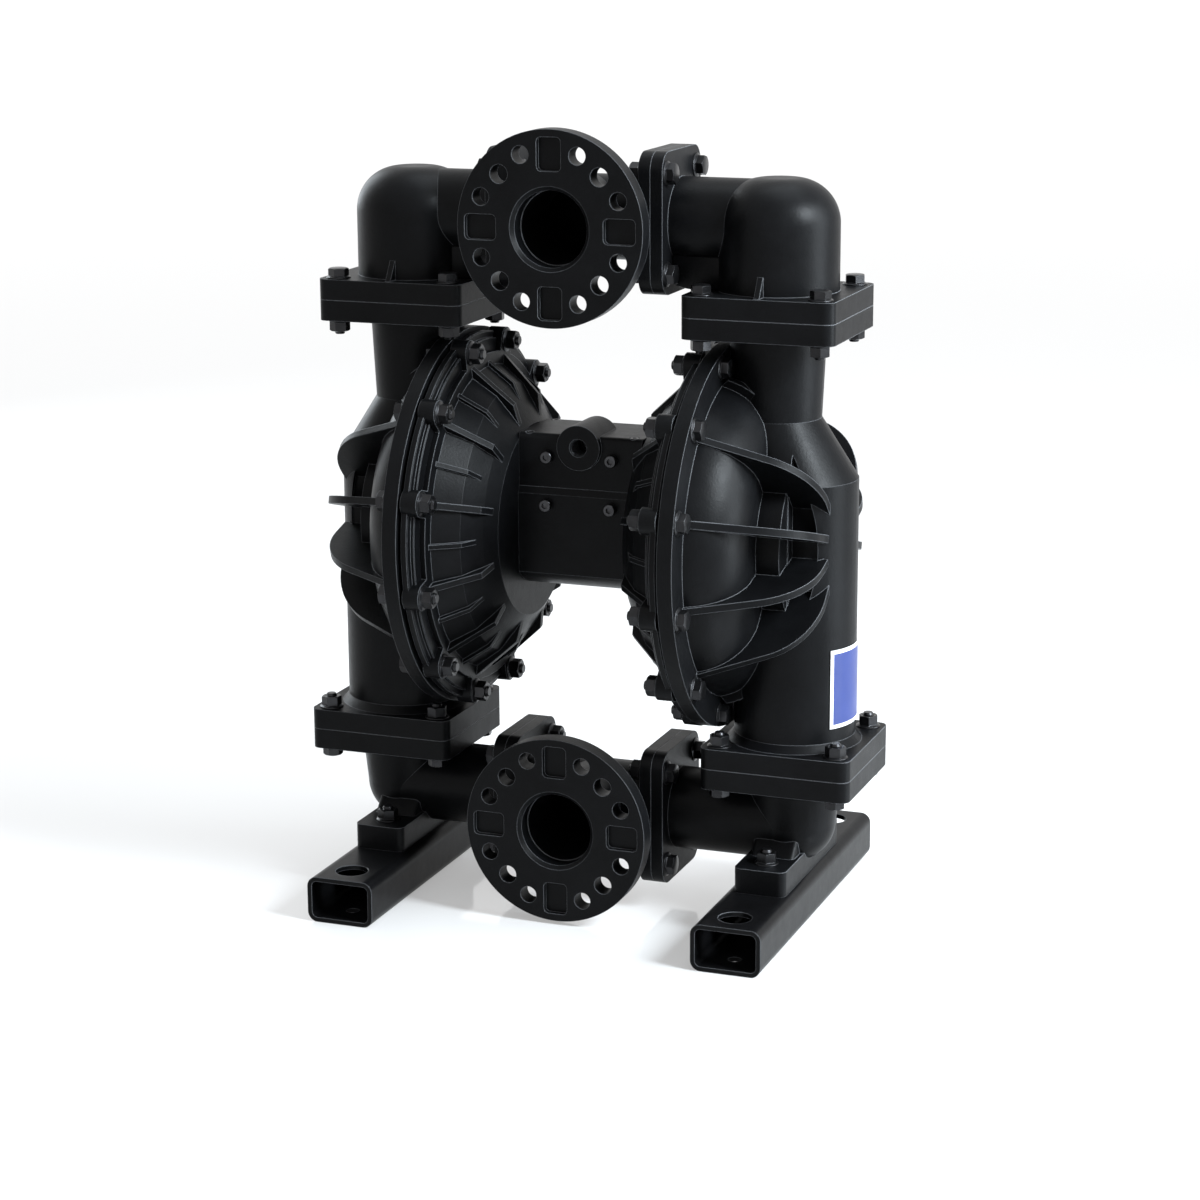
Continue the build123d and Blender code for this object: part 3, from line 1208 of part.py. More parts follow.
for name, z in (("inlet_joint_rings", INLET_Z), ("outlet_joint_rings", OUTLET_Z)):
    with BuildPart() as joint_rings:
        sealing_ring(side_plane(JOINT_X, z), JOINT_RING_RADIUS)
        sealing_ring(inner_plane(-JOINT_X, z), JOINT_RING_RADIUS)
    save(name, joint_rings.part)

# ---- Bolts and nuts -----------------------------------------------------

nut = hex_nut()

with BuildPart() as rim_bolts:
    rim_bolt = hex_bolt(FLUID_RIM_FACE - NUT_FACE_X)
    with Locations(side_plane(FLUID_RIM_FACE)):
        with PolarLocations(BOLT_CIRCLE, BOLT_COUNT, start_angle=BOLT_START_ANGLE):
            add(rim_bolt)
save_pair("rim_bolts", rim_bolts.part)

with BuildPart() as rim_nuts:
    with Locations(inner_plane(NUT_FACE_X)):
        with PolarLocations(BOLT_CIRCLE, BOLT_COUNT, start_angle=BOLT_START_ANGLE):
            add(nut)
save_pair("rim_nuts", rim_nuts.part)

clamp_bolt = hex_bolt(2 * PLATE_THICKNESS)


def clamp_set(name, fastener, x, place):
    """Eight clamp bolts or nuts, four at each column; place gives their plane."""
    with BuildPart() as fasteners:
        for column_x in (-x, x):
            with Locations(place(column_x)):
                with GridLocations(2 * PLATE_BOLT_X, 2 * PLATE_BOLT_Y, 2, 2):
                    add(fastener)
    save(name, fasteners.part)


clamp_set("inlet_clamp_bolts", clamp_bolt, LOWER_COLUMN_X,
          lambda x: upside_down_plane(x, INLET_SEAM_Z - PLATE_THICKNESS))
clamp_set("inlet_clamp_nuts", nut, LOWER_COLUMN_X,
          lambda x: level_plane(x, INLET_SEAM_Z + PLATE_THICKNESS))
clamp_set("outlet_clamp_bolts", clamp_bolt, UPPER_COLUMN_X,
          lambda x: level_plane(x, OUTLET_SEAM_Z + PLATE_THICKNESS))
clamp_set("outlet_clamp_nuts", nut, UPPER_COLUMN_X,
          lambda x: upside_down_plane(x, OUTLET_SEAM_Z - PLATE_THICKNESS))

joint_bolt = hex_bolt(2 * JOINT_PLATE)
with BuildPart() as joint_bolts:
    for z in (INLET_Z, OUTLET_Z):
        for end in (
            side_plane(JOINT_X + JOINT_PLATE, z),
            inner_plane(-JOINT_X - JOINT_PLATE, z),
        ):
            with Locations(end):
                with GridLocations(2 * JOINT_BOLT_Y, 2 * JOINT_BOLT_Z, 2, 2):
                    add(joint_bolt)
save("joint_bolts", joint_bolts.part)

with BuildPart() as joint_nuts:
    for z in (INLET_Z, OUTLET_Z):
        for end in (
            inner_plane(JOINT_X - JOINT_PLATE, z),
            side_plane(JOINT_PLATE - JOINT_X, z),
        ):
            with Locations(end):
                with GridLocations(2 * JOINT_BOLT_Y, 2 * JOINT_BOLT_Z, 2, 2):
                    add(nut)
save("joint_nuts", joint_nuts.part)

foot_bolt = hex_bolt(RAIL_WALL + FOOT_THICKNESS)
with BuildPart() as foot_bolts:
    with Locations(upside_down_plane(0, RAIL_HEIGHT - RAIL_WALL)):
        with GridLocations(2 * FOOT_X, 2 * FOOT_BOLT_Y, 2, 2):
            add(foot_bolt)
save("foot_bolts", foot_bolts.part)

with BuildPart() as foot_nuts:
    with Locations(level_plane(0, RAIL_HEIGHT + FOOT_THICKNESS)):
        with GridLocations(2 * FOOT_X, 2 * FOOT_BOLT_Y, 2, 2):
            add(nut)
save("foot_nuts", foot_nuts.part)

# ---- Label plate --------------------------------------------------------

label_radius = LOWER_COLUMN_RADIUS + LABEL_GAP
with BuildPart() as label_plate:
    with BuildSketch(level_plane(LOWER_COLUMN_X, LABEL_Z - LABEL_HEIGHT / 2)):
        with BuildLine():
            inner = CenterArc((0, 0), label_radius, LABEL_START_ANGLE - 90, LABEL_SWEEP)
            outer = CenterArc(
                (0, 0), label_radius + LABEL_THICKNESS, LABEL_START_ANGLE - 90, LABEL_SWEEP
            )
            Line(inner @ 0, outer @ 0)
            Line(inner @ 1, outer @ 1)
        make_face()
    extrude(amount=LABEL_HEIGHT)
save("label_plate", label_plate.part)
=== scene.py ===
import json
from math import acos, cos, pi, radians, sin

import bmesh
import bpy
from mathutils import Matrix, Vector


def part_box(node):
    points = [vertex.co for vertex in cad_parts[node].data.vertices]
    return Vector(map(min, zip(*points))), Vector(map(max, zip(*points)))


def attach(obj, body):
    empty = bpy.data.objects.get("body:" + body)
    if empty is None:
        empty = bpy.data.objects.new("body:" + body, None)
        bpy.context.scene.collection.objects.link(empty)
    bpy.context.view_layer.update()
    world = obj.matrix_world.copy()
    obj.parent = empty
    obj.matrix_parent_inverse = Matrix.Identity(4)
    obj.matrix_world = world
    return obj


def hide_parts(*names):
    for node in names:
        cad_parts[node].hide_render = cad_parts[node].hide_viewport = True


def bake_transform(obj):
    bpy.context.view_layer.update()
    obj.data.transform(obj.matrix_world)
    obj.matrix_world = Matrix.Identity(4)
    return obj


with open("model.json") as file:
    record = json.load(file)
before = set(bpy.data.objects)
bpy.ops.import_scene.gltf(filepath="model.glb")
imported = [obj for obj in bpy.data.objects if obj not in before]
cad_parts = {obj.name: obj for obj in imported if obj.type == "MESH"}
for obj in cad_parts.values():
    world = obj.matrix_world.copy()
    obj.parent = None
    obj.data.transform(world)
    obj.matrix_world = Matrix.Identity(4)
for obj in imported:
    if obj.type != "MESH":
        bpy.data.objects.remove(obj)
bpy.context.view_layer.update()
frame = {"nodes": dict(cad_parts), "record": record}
nodes = frame["nodes"]
scene = bpy.context.scene
scene.view_settings.view_transform = "Standard"
MM = 0.001

# ---- Camera -------------------------------------------------------------

AZIMUTH = radians(20.74)
ELEVATION = radians(13.99)
ROLL = radians(-0.314)
DISTANCE = 3.2049
TARGET = Vector((0.0048, 0.0, 0.3256))

back = Vector((sin(AZIMUTH) * cos(ELEVATION), -cos(AZIMUTH) * cos(ELEVATION), sin(ELEVATION)))
right = Vector((cos(AZIMUTH), sin(AZIMUTH), 0))
up = back.cross(right)
camera_right = right * cos(ROLL) + up * sin(ROLL)
camera_up = up * cos(ROLL) - right * sin(ROLL)
camera_place = TARGET + back * DISTANCE

camera_data = bpy.data.cameras.new("camera")
camera_data.lens = 89.66
camera_data.sensor_width = 36
camera_data.clip_end = 60
camera = bpy.data.objects.new("camera", camera_data)
camera.matrix_world = Matrix((
    (camera_right.x, camera_up.x, back.x, camera_place.x),
    (camera_right.y, camera_up.y, back.y, camera_place.y),
    (camera_right.z, camera_up.z, back.z, camera_place.z),
    (0, 0, 0, 1),
))
scene.collection.objects.link(camera)
scene.camera = camera

# ---- Materials ----------------------------------------------------------


def node_tree(name):
    """New node material with its shader and output; returns what building needs."""
    material = bpy.data.materials.new(name)
    material.use_nodes = True
    tree = material.node_tree
    tree.nodes.clear()
    output = tree.nodes.new("ShaderNodeOutputMaterial")
    shader = tree.nodes.new("ShaderNodeBsdfPrincipled")
    tree.links.new(shader.outputs["BSDF"], output.inputs["Surface"])
    return material, tree, shader


def noise(tree, coords, scale, detail=3.0, roughness=0.5, distortion=0.0):
    """Noise texture in metres; scale is features per metre."""
    texture = tree.nodes.new("ShaderNodeTexNoise")
    texture.inputs["Scale"].default_value = scale
    texture.inputs["Detail"].default_value = detail
    texture.inputs["Roughness"].default_value = roughness
    texture.inputs["Distortion"].default_value = distortion
    tree.links.new(coords, texture.inputs["Vector"])
    return texture.outputs["Fac"]


def ramp(tree, value, low, high, low_at=0.3, high_at=0.7):
    """Maps a value to between two colours."""
    node = tree.nodes.new("ShaderNodeValToRGB")
    node.color_ramp.elements[0].position = low_at
    node.color_ramp.elements[1].position = high_at
    node.color_ramp.elements[0].color = (*low, 1)
    node.color_ramp.elements[1].color = (*high, 1)
    tree.links.new(value, node.inputs["Fac"])
    return node.outputs["Color"]


def spread(tree, value, low, high):
    """Maps a value from 0..1 to low..high."""
    node = tree.nodes.new("ShaderNodeMapRange")
    node.inputs["To Min"].default_value = low
    node.inputs["To Max"].default_value = high
    tree.links.new(value, node.inputs["Value"])
    return node.outputs["Result"]


def math_node(tree, operation, first, second):
    """One math operation; each input is a socket or a number."""
    node = tree.nodes.new("ShaderNodeMath")
    node.operation = operation
    for index, value in enumerate((first, second)):
        if isinstance(value, (int, float)):
            node.inputs[index].default_value = value
        else:
            tree.links.new(value, node.inputs[index])
    return node.outputs[0]


def surface(name, dark, light, rough=(0.35, 0.5), metallic=0.0, specular=0.5, grain=400.0,
            grain_depth=0.00015, waves=40.0, wave_depth=0.0004, edge=0.0012, edge_wear_and_highlight=None):
    """Painted, cast or turned surface: mottled colour, uneven gloss, grain,
    slow waviness, softened edges and, if an edge colour is given, edges lightened in colour, partly as
    paint wear and partly as a painted highlight."""
    material, tree, shader = node_tree(name)
    coords = tree.nodes.new("ShaderNodeTexCoord").outputs["Object"]
    slow = noise(tree, coords, waves, 4.0)
    fine = noise(tree, coords, grain, 5.0, 0.6)
    mottled = ramp(tree, noise(tree, coords, waves * 0.4, 6.0, 0.65), dark, light)
    soft_edge = tree.nodes.new("ShaderNodeBevel")
    soft_edge.samples = 6
    soft_edge.inputs["Radius"].default_value = edge
    waviness = tree.nodes.new("ShaderNodeBump")
    waviness.inputs["Distance"].default_value = wave_depth
    waviness.inputs["Strength"].default_value = 0.6
    tree.links.new(slow, waviness.inputs["Height"])
    tree.links.new(soft_edge.outputs["Normal"], waviness.inputs["Normal"])
    skin = tree.nodes.new("ShaderNodeBump")
    skin.inputs["Distance"].default_value = grain_depth
    skin.inputs["Strength"].default_value = 0.7
    tree.links.new(fine, skin.inputs["Height"])
    tree.links.new(waviness.outputs["Normal"], skin.inputs["Normal"])
    tree.links.new(skin.outputs["Normal"], shader.inputs["Normal"])
    tree.links.new(spread(tree, noise(tree, coords, waves * 1.7, 5.0, 0.7), *rough),
                   shader.inputs["Roughness"])
    # Edges lightened towards a light grey: partly paint wear, partly a painted highlight where light
    # catches the edges
    if edge_wear_and_highlight:
        geometry = tree.nodes.new("ShaderNodeNewGeometry")
        agreement = tree.nodes.new("ShaderNodeVectorMath")
        agreement.operation = "DOT_PRODUCT"
        tree.links.new(geometry.outputs["Normal"], agreement.inputs[0])
        tree.links.new(soft_edge.outputs["Normal"], agreement.inputs[1])
        bent = math_node(tree, "SUBTRACT", 1.0, agreement.outputs["Value"])
        edges = math_node(tree, "MULTIPLY", bent, spread(tree, fine, 0.0, 14.0))
        wear_and_highlight_mask = math_node(tree, "MINIMUM", edges, 0.8)
        mix = tree.nodes.new("ShaderNodeMix")
        mix.data_type = "RGBA"
        tree.links.new(wear_and_highlight_mask, mix.inputs["Factor"])
        tree.links.new(mottled, mix.inputs["A"])
        mix.inputs["B"].default_value = (*edge_wear_and_highlight, 1)
        tree.links.new(mix.outputs["Result"], shader.inputs["Base Color"])
    else:
        tree.links.new(mottled, shader.inputs["Base Color"])
    shader.inputs["Metallic"].default_value = metallic
    shader.inputs["Specular IOR Level"].default_value = specular
    return material


# Light grey for the edges of castings and rails: partly paint wear, partly a painted highlight
EDGE_WEAR_AND_HIGHLIGHT = (0.15, 0.155, 0.165)
casting = surface("black_casting", (0.002, 0.0021, 0.0024), (0.0045, 0.0047, 0.0053),
                  rough=(0.3, 0.46), specular=0.08, grain_depth=0.00022,
                  edge_wear_and_highlight=EDGE_WEAR_AND_HIGHLIGHT)
rail_paint = surface("black_rail", (0.002, 0.002, 0.0022), (0.0045, 0.0045, 0.005),
                     rough=(0.26, 0.38), specular=0.08, grain=700.0, grain_depth=0.00006,
                     edge_wear_and_highlight=EDGE_WEAR_AND_HIGHLIGHT)
fastener = surface("black_zinc", (0.012, 0.012, 0.013), (0.035, 0.035, 0.037),
                   rough=(0.22, 0.38), metallic=0.85, grain=1200.0, grain_depth=0.00004,
                   edge=0.0006)
screw_steel = surface("screw_steel", (0.03, 0.03, 0.032), (0.07, 0.07, 0.074), rough=(0.25, 0.4),
                      metallic=1.0, grain=1500.0, grain_depth=0.00003, edge=0.0004)
rubber = surface("black_rubber", (0.012, 0.012, 0.012), (0.024, 0.024, 0.023),
                 rough=(0.6, 0.8), grain=900.0, grain_depth=0.0001)
plated = surface("plated_disc", (0.42, 0.42, 0.44), (0.55, 0.55, 0.56), rough=(0.25, 0.4),
                 metallic=1.0, grain=900.0, grain_depth=0.00003)
aluminium = surface("bare_aluminium", (0.45, 0.45, 0.46), (0.6, 0.6, 0.61), rough=(0.35, 0.5),
                    metallic=1.0, grain=600.0, grain_depth=0.00008)
ground_steel = surface("ground_steel", (0.5, 0.5, 0.51), (0.6, 0.6, 0.61), rough=(0.12, 0.2),
                       metallic=1.0, grain=1500.0, grain_depth=0.00001)
bronze = surface("bronze", (0.35, 0.2, 0.08), (0.48, 0.3, 0.13), rough=(0.28, 0.42),
                 metallic=1.0, grain=900.0, grain_depth=0.00003)
seat_plastic = surface("seat_plastic", (0.55, 0.54, 0.5), (0.66, 0.65, 0.6), rough=(0.4, 0.5),
                       grain=800.0, grain_depth=0.00003)
ball_rubber = surface("ball_rubber", (0.42, 0.39, 0.33), (0.55, 0.52, 0.45), rough=(0.5, 0.65),
                      grain=700.0, grain_depth=0.00006)
muffler_plastic = surface("muffler_plastic", (0.012, 0.012, 0.012), (0.022, 0.022, 0.022),
                          rough=(0.5, 0.65), grain=600.0, grain_depth=0.0001)
label_blue = surface("label_blue", (0.024, 0.038, 0.14), (0.03, 0.046, 0.165), rough=(0.3, 0.4),
                     specular=0.2, grain=900.0, grain_depth=0.00002)


def white_border(material, centre, radius, middle_angle, half_width, half_height, border):
    """Paints a white border round a label bent about an upright axis."""
    tree = material.node_tree
    shader = next(n for n in tree.nodes if n.type == "BSDF_PRINCIPLED")
    split = tree.nodes.new("ShaderNodeSeparateXYZ")
    tree.links.new(tree.nodes.new("ShaderNodeTexCoord").outputs["Object"], split.inputs[0])
    across = math_node(tree, "SUBTRACT", split.outputs["X"], centre[0])
    forward = math_node(tree, "MULTIPLY", split.outputs["Y"], -1.0)
    angle = math_node(tree, "ARCTAN2", across, forward)
    turned = math_node(tree, "ABSOLUTE", math_node(tree, "SUBTRACT", angle, middle_angle), 0.0)
    along = math_node(tree, "MULTIPLY", turned, radius)
    rise = math_node(tree, "ABSOLUTE", math_node(tree, "SUBTRACT", split.outputs["Z"], centre[2]), 0.0)
    past_side = math_node(tree, "SUBTRACT", along, half_width - border)
    past_top = math_node(tree, "SUBTRACT", rise, half_height - border)
    outside = math_node(tree, "GREATER_THAN", math_node(tree, "MAXIMUM", past_side, past_top), 0.0)
    field = shader.inputs["Base Color"].links[0].from_socket
    mix = tree.nodes.new("ShaderNodeMix")
    mix.data_type = "RGBA"
    tree.links.new(outside, mix.inputs["Factor"])
    tree.links.new(field, mix.inputs["A"])
    mix.inputs["B"].default_value = (0.8, 0.8, 0.8, 1)
    tree.links.new(mix.outputs["Result"], shader.inputs["Base Color"])


LOWER_X = 224 * MM
LABEL_RADIUS = 65 * MM
LABEL_ANGLE = radians(80)
LABEL_HALF_SWEEP = radians(29)
LABEL_BORDER = 4 * MM
label_low, label_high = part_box("label_plate")
label_middle = (LOWER_X, 0.0, (label_low[2] + label_high[2]) / 2)
white_border(label_blue, label_middle, LABEL_RADIUS, LABEL_ANGLE, LABEL_HALF_SWEEP * LABEL_RADIUS,
             (label_high[2] - label_low[2]) / 2, LABEL_BORDER)

by_slot = {
    "black_casting": casting,
    "black_steel": rail_paint,
    "zinc_fastener": fastener,
    "screw_steel": screw_steel,
    "rubber": rubber,
    "plated_disc": plated,
    "bare_aluminium": aluminium,
    "ground_shaft": ground_steel,
    "bronze": bronze,
    "seat_plastic": seat_plastic,
    "ball_rubber": ball_rubber,
    "muffler_plastic": muffler_plastic,
    "label": label_blue,
}
for subpart in frame["record"]["subparts"]:
    piece = nodes[subpart["node"]]
    piece.data.materials.clear()
    piece.data.materials.append(by_slot[subpart["material_slot"]])

# ---- Detailed pieces ----------------------------------------------------


def finish_mesh(name, bm, material, body, angle=35.0):
    """Turns a bmesh into a smooth-shaded piece that rides on a body, if one is given."""
    bmesh.ops.recalc_face_normals(bm, faces=bm.faces)
    mesh = bpy.data.meshes.new(name)
    bm.to_mesh(mesh)
    bm.free()
    for polygon in mesh.polygons:
        polygon.use_smooth = True
    mesh.set_sharp_from_angle(angle=radians(angle))
    mesh.materials.append(material)
    piece = bpy.data.objects.new(name, mesh)
    scene.collection.objects.link(piece)
    if body:
        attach(piece, body)
    return piece


def lathe(bm, profile, place, segments=32):
    """Turns (radius, height) points about the place's Z axis; closes at zero radius."""
    rings = []
    for radius, height in profile:
        if radius == 0:
            rings.append([bm.verts.new(place @ Vector((0, 0, height)))])
            continue
        ring = []
        for step in range(segments):
            turn = 2 * pi * step / segments
            ring.append(bm.verts.new(place @ Vector((radius * cos(turn), radius * sin(turn), height))))
        rings.append(ring)
    for low, high in zip(rings, rings[1:]):
        for step in range(segments):
            following = (step + 1) % segments
            if len(low) == 1:
                bm.faces.new((low[0], high[following], high[step]))
            elif len(high) == 1:
                bm.faces.new((low[step], low[following], high[0]))
            else:
                bm.faces.new((low[step], low[following], high[following], high[step]))


def hexagon(bm, flats, bottom, top, place, bore=0.0, steps=4):
    """Hexagon with its top corners turned off in a cone, as forged and faced."""
    count = 6 * steps
    low, high = [], []
    for step in range(count):
        turn = 2 * pi * step / count
        folded = (turn + pi / 6) % (pi / 3) - pi / 6
        radius = flats / 2 / cos(folded)
        drop = (radius - flats / 2) * 0.55
        spot = (radius * cos(turn), radius * sin(turn))
        low.append(bm.verts.new(place @ Vector((*spot, bottom))))
        high.append(bm.verts.new(place @ Vector((*spot, top - drop - 0.0002))))
    face_radius = flats / 2 * 0.94
    rim = []
    for step in range(count):
        turn = 2 * pi * step / count
        rim.append(bm.verts.new(
            place @ Vector((face_radius * cos(turn), face_radius * sin(turn), top))))
    inner = []
    for step in range(count):
        turn = 2 * pi * step / count
        spot = (bore * cos(turn), bore * sin(turn), top - (0.0006 if bore else 0.0))
        inner.append(bm.verts.new(place @ Vector(spot)) if bore else None)
    middle = None if bore else bm.verts.new(place @ Vector((0, 0, top + 0.0001)))
    for step in range(count):
        following = (step + 1) % count
        bm.faces.new((low[step], low[following], high[following], high[step]))
        bm.faces.new((high[step], high[following], rim[following], rim[step]))
        if bore:
            bm.faces.new((rim[step], rim[following], inner[following], inner[step]))
        else:
            bm.faces.new((rim[step], rim[following], middle))


def threaded_end(bm, radius, start, end, place, pitch=0.00175):
    """Round bar with thread crests, and a chamfered end."""
    profile = [(radius, start)]
    height = start
    while height + pitch < end - 0.001:
        profile.append((radius, height + 0.2 * pitch))
        profile.append((radius - 0.55 * pitch, height + 0.6 * pitch))
        profile.append((radius, height + pitch))
        height += pitch
    profile.append((radius - 0.0012, end))
    profile.append((0, end))
    lathe(bm, profile, place, 24)


BOLT_RADIUS = 6.0 * MM
HEX_FLATS = 19.0 * MM
HEAD_HEIGHT = 8.0 * MM
COLLAR_RADIUS = 13.0 * MM
COLLAR_HEIGHT = 2.5 * MM
NUT_HEIGHT = 10.0 * MM
THREAD_PROUD = 3.0 * MM


def collar(bm, place):
    """Collar under a head or nut, thinning to its rim."""
    lathe(bm, [
        (BOLT_RADIUS, 0),
        (COLLAR_RADIUS - 0.0003, 0),
        (COLLAR_RADIUS, 0.0004),
        (COLLAR_RADIUS - 0.0002, 0.0011),
        (HEX_FLATS / 2 * 1.08, COLLAR_HEIGHT),
        (HEX_FLATS / 2 * 0.9, COLLAR_HEIGHT + 0.0004),
    ], place, 32)


def bolt(bm, place, grip):
    """Collar bolt seated at the place, with its threaded end beyond the nut."""
    collar(bm, place)
    hexagon(bm, HEX_FLATS, COLLAR_HEIGHT - 0.0006, COLLAR_HEIGHT + HEAD_HEIGHT, place)
    under = place @ Matrix.Rotation(pi, 4, "X")
    reach = grip + COLLAR_HEIGHT + NUT_HEIGHT + THREAD_PROUD
    lathe(bm, [(BOLT_RADIUS - 0.0001, 0), (BOLT_RADIUS - 0.0001, grip + COLLAR_HEIGHT)], under, 24)
    threaded_end(bm, BOLT_RADIUS - 0.0001, grip + COLLAR_HEIGHT, reach, under)


def nut(bm, place):
    """Collar nut seated at the place."""
    collar(bm, place)
    hexagon(bm, HEX_FLATS, COLLAR_HEIGHT - 0.0006, COLLAR_HEIGHT + NUT_HEIGHT, place,
            bore=BOLT_RADIUS + 0.0002)


def facing(place, direction):
    """Placement whose Z points along direction."""
    turn = Vector(direction).to_track_quat("Z", "Y").to_matrix().to_4x4()
    return Matrix.Translation(Vector(place)) @ turn


def fastener_set(name, places, make):
    """One piece that stands for a CAD node of repeated fasteners."""
    bm = bmesh.new()
    for index, place in enumerate(places):
        make(bm, place @ Matrix.Rotation(radians(37.0 * index % 60), 4, "Z"))
    piece = finish_mesh(name + "_detail", bm, fastener, "body")
    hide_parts(name)


AXIS_Z = 410 * MM
INLET_Z = 104 * MM
OUTLET_Z = 737 * MM
UPPER_X = 202 * MM
RIM_OUTER = 157 * MM
RIM_INNER = 120 * MM
RIM_BOLT_CIRCLE = 190 * MM
CLAMP_BOLT_X = 63 * MM
CLAMP_BOLT_Y = 62 * MM
INLET_CLAMP = (152 * MM, 196 * MM)
OUTLET_CLAMP = (625 * MM, 669 * MM)
JOINT_BOLT_Y = 46 * MM
JOINT_BOLT_Z = 51 * MM
JOINT_INNER = 71 * MM
JOINT_OUTER = 97 * MM
FOOT_BOLT_X = 217 * MM
FOOT_BOLT_Y = 73 * MM
FOOT_LOW = 45 * MM
FOOT_HIGH = 77 * MM
DOWN = (0, 0, -1)
UP = (0, 0, 1)
FORWARD = (0, -1, 0)


def ring_of_places(x, direction):
    """Twelve places round the rim at x."""
    places = []
    for count in range(12):
        turn = radians(15 + 30 * count)
        spot = (x, RIM_BOLT_CIRCLE * cos(turn), AXIS_Z + RIM_BOLT_CIRCLE * sin(turn))
        places.append(facing(spot, direction))
    return places


for side, s in (("right", 1), ("left", -1)):
    fastener_set(f"rim_bolts_{side}", ring_of_places(s * RIM_OUTER, (s, 0, 0)),
                 lambda bm, place: bolt(bm, place, RIM_OUTER - RIM_INNER))
    fastener_set(f"rim_nuts_{side}", ring_of_places(s * RIM_INNER, (-s, 0, 0)), nut)


def column_places(column_x, z, direction):
    """Eight places at the corners of the two clamp plates."""
    return [facing((sx * column_x + dx * CLAMP_BOLT_X, dy * CLAMP_BOLT_Y, z), direction)
            for sx in (-1, 1) for dx in (-1, 1) for dy in (-1, 1)]


fastener_set("inlet_clamp_bolts", column_places(LOWER_X, INLET_CLAMP[0], DOWN),
             lambda bm, place: bolt(bm, place, INLET_CLAMP[1] - INLET_CLAMP[0]))
fastener_set("inlet_clamp_nuts", column_places(LOWER_X, INLET_CLAMP[1], UP), nut)
fastener_set("outlet_clamp_bolts", column_places(UPPER_X, OUTLET_CLAMP[1], UP),
             lambda bm, place: bolt(bm, place, OUTLET_CLAMP[1] - OUTLET_CLAMP[0]))
fastener_set("outlet_clamp_nuts", column_places(UPPER_X, OUTLET_CLAMP[0], DOWN), nut)


def joint_places(x, outward):
    """Sixteen places on the joint plates of both manifolds."""
    return [facing((s * x, dy * JOINT_BOLT_Y, z + dz * JOINT_BOLT_Z), (s * outward, 0, 0))
            for z in (INLET_Z, OUTLET_Z) for s in (-1, 1) for dy in (-1, 1) for dz in (-1, 1)]


fastener_set("joint_bolts", joint_places(JOINT_OUTER, 1),
             lambda bm, place: bolt(bm, place, JOINT_OUTER - JOINT_INNER))
fastener_set("joint_nuts", joint_places(JOINT_INNER, -1), nut)


def foot_places(z, direction):
    """Four places on the foot pads."""
    return [facing((dx * FOOT_BOLT_X, dy * FOOT_BOLT_Y, z), direction)
            for dx in (-1, 1) for dy in (-1, 1)]


fastener_set("foot_bolts", foot_places(FOOT_LOW, DOWN),
             lambda bm, place: bolt(bm, place, FOOT_HIGH - FOOT_LOW))
fastener_set("foot_nuts", foot_places(FOOT_HIGH, UP), nut)


def socket_screw(bm, place, head_radius, head_height, flats, shank_radius, length):
    """Socket head screw seated at the place, with a hexagon socket."""
    lathe(bm, [
        (0, -length), (shank_radius, -length), (shank_radius, 0),
        (head_radius, 0), (head_radius, head_height - 0.0008),
        (head_radius - 0.0007, head_height),
    ], place, 24)
    depth = head_height * 0.45
    rings = []
    for reach, height in ((None, head_height), (1.0, head_height), (1.0, head_height - depth)):
        ring = []
        for step in range(24):
            turn = 2 * pi * step / 24
            folded = (turn + pi / 6) % (pi / 3) - pi / 6
            radius = head_radius - 0.0007 if reach is None else flats / 2 / cos(folded)
            ring.append(bm.verts.new(place @ Vector((radius * cos(turn), radius * sin(turn), height))))
        rings.append(ring)
    middle = bm.verts.new(place @ Vector((0, 0, head_height - depth - 0.0005)))
    for step in range(24):
        following = (step + 1) % 24
        for low, high in zip(rings, rings[1:]):
            bm.faces.new((low[step], low[following], high[following], high[step]))
        bm.faces.new((rings[2][step], rings[2][following], middle))


def screw_set(name, places, sizes):
    """One piece of socket screws that stands for a CAD node."""
    bm = bmesh.new()
    for index, place in enumerate(places):
        socket_screw(bm, place @ Matrix.Rotation(radians(23.0 * index % 60), 4, "Z"), *sizes)
    bmesh.ops.remove_doubles(bm, verts=bm.verts, dist=0.00001)
    piece = finish_mesh(name + "_detail", bm, screw_steel, "body")
    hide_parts(name)


screw_set("front_screws",
          [facing((dx * 0.036, -0.044, 0.488), FORWARD) for dx in (-1, 1)]
          + [facing((dx * 0.036, -0.048, 0.437), FORWARD) for dx in (-1, 1)],
          (6.5 * MM, 8 * MM, 6 * MM, 4 * MM, 20 * MM))
screw_set("valve_screws",
          [facing((dx * 0.058, dy * 0.036, 0.506), UP) for dx in (-1, 1) for dy in (-1, 1)],
          (5 * MM, 6 * MM, 5 * MM, 3 * MM, 71 * MM))


def port_thread(turns=14, lead_in=1.2 * MM, pitch=1.8 * MM, root=9.45 * MM, crest=8.7 * MM):
    """Thread inside the air port."""
    bm = bmesh.new()
    line = []
    for count in range(turns):
        start = lead_in + count * pitch
        line += [(root, -start), (crest, -start - pitch / 2)]
    lathe(bm, line, facing((0, -50 * MM, 500 * MM), FORWARD), 40)
    return finish_mesh("port_thread", bm, casting, "body")


port_thread()


def rim_ring(side):
    """Stepped ring that joins the bolt bosses round an air cover's rim."""
    bm = bmesh.new()
    profile = [
        (176.5 * MM, 0), (190 * MM, 0), (191 * MM, 0.8 * MM), (191 * MM, 4 * MM),
        (197 * MM, 4.6 * MM), (198.5 * MM, 5.6 * MM), (198.5 * MM, 11.4 * MM),
        (197.7 * MM, 12 * MM), (176.5 * MM, 12 * MM), (176.5 * MM, 0),
    ]
    lathe(bm, profile, facing((side * 0.126, 0, AXIS_Z), (side, 0, 0)), 144)
    bmesh.ops.remove_doubles(bm, verts=bm.verts, dist=0.00001)
    return finish_mesh(f"rim_ring_{'right' if side > 0 else 'left'}", bm, casting, "body",
                       25.0)


rim_ring(1)
rim_ring(-1)


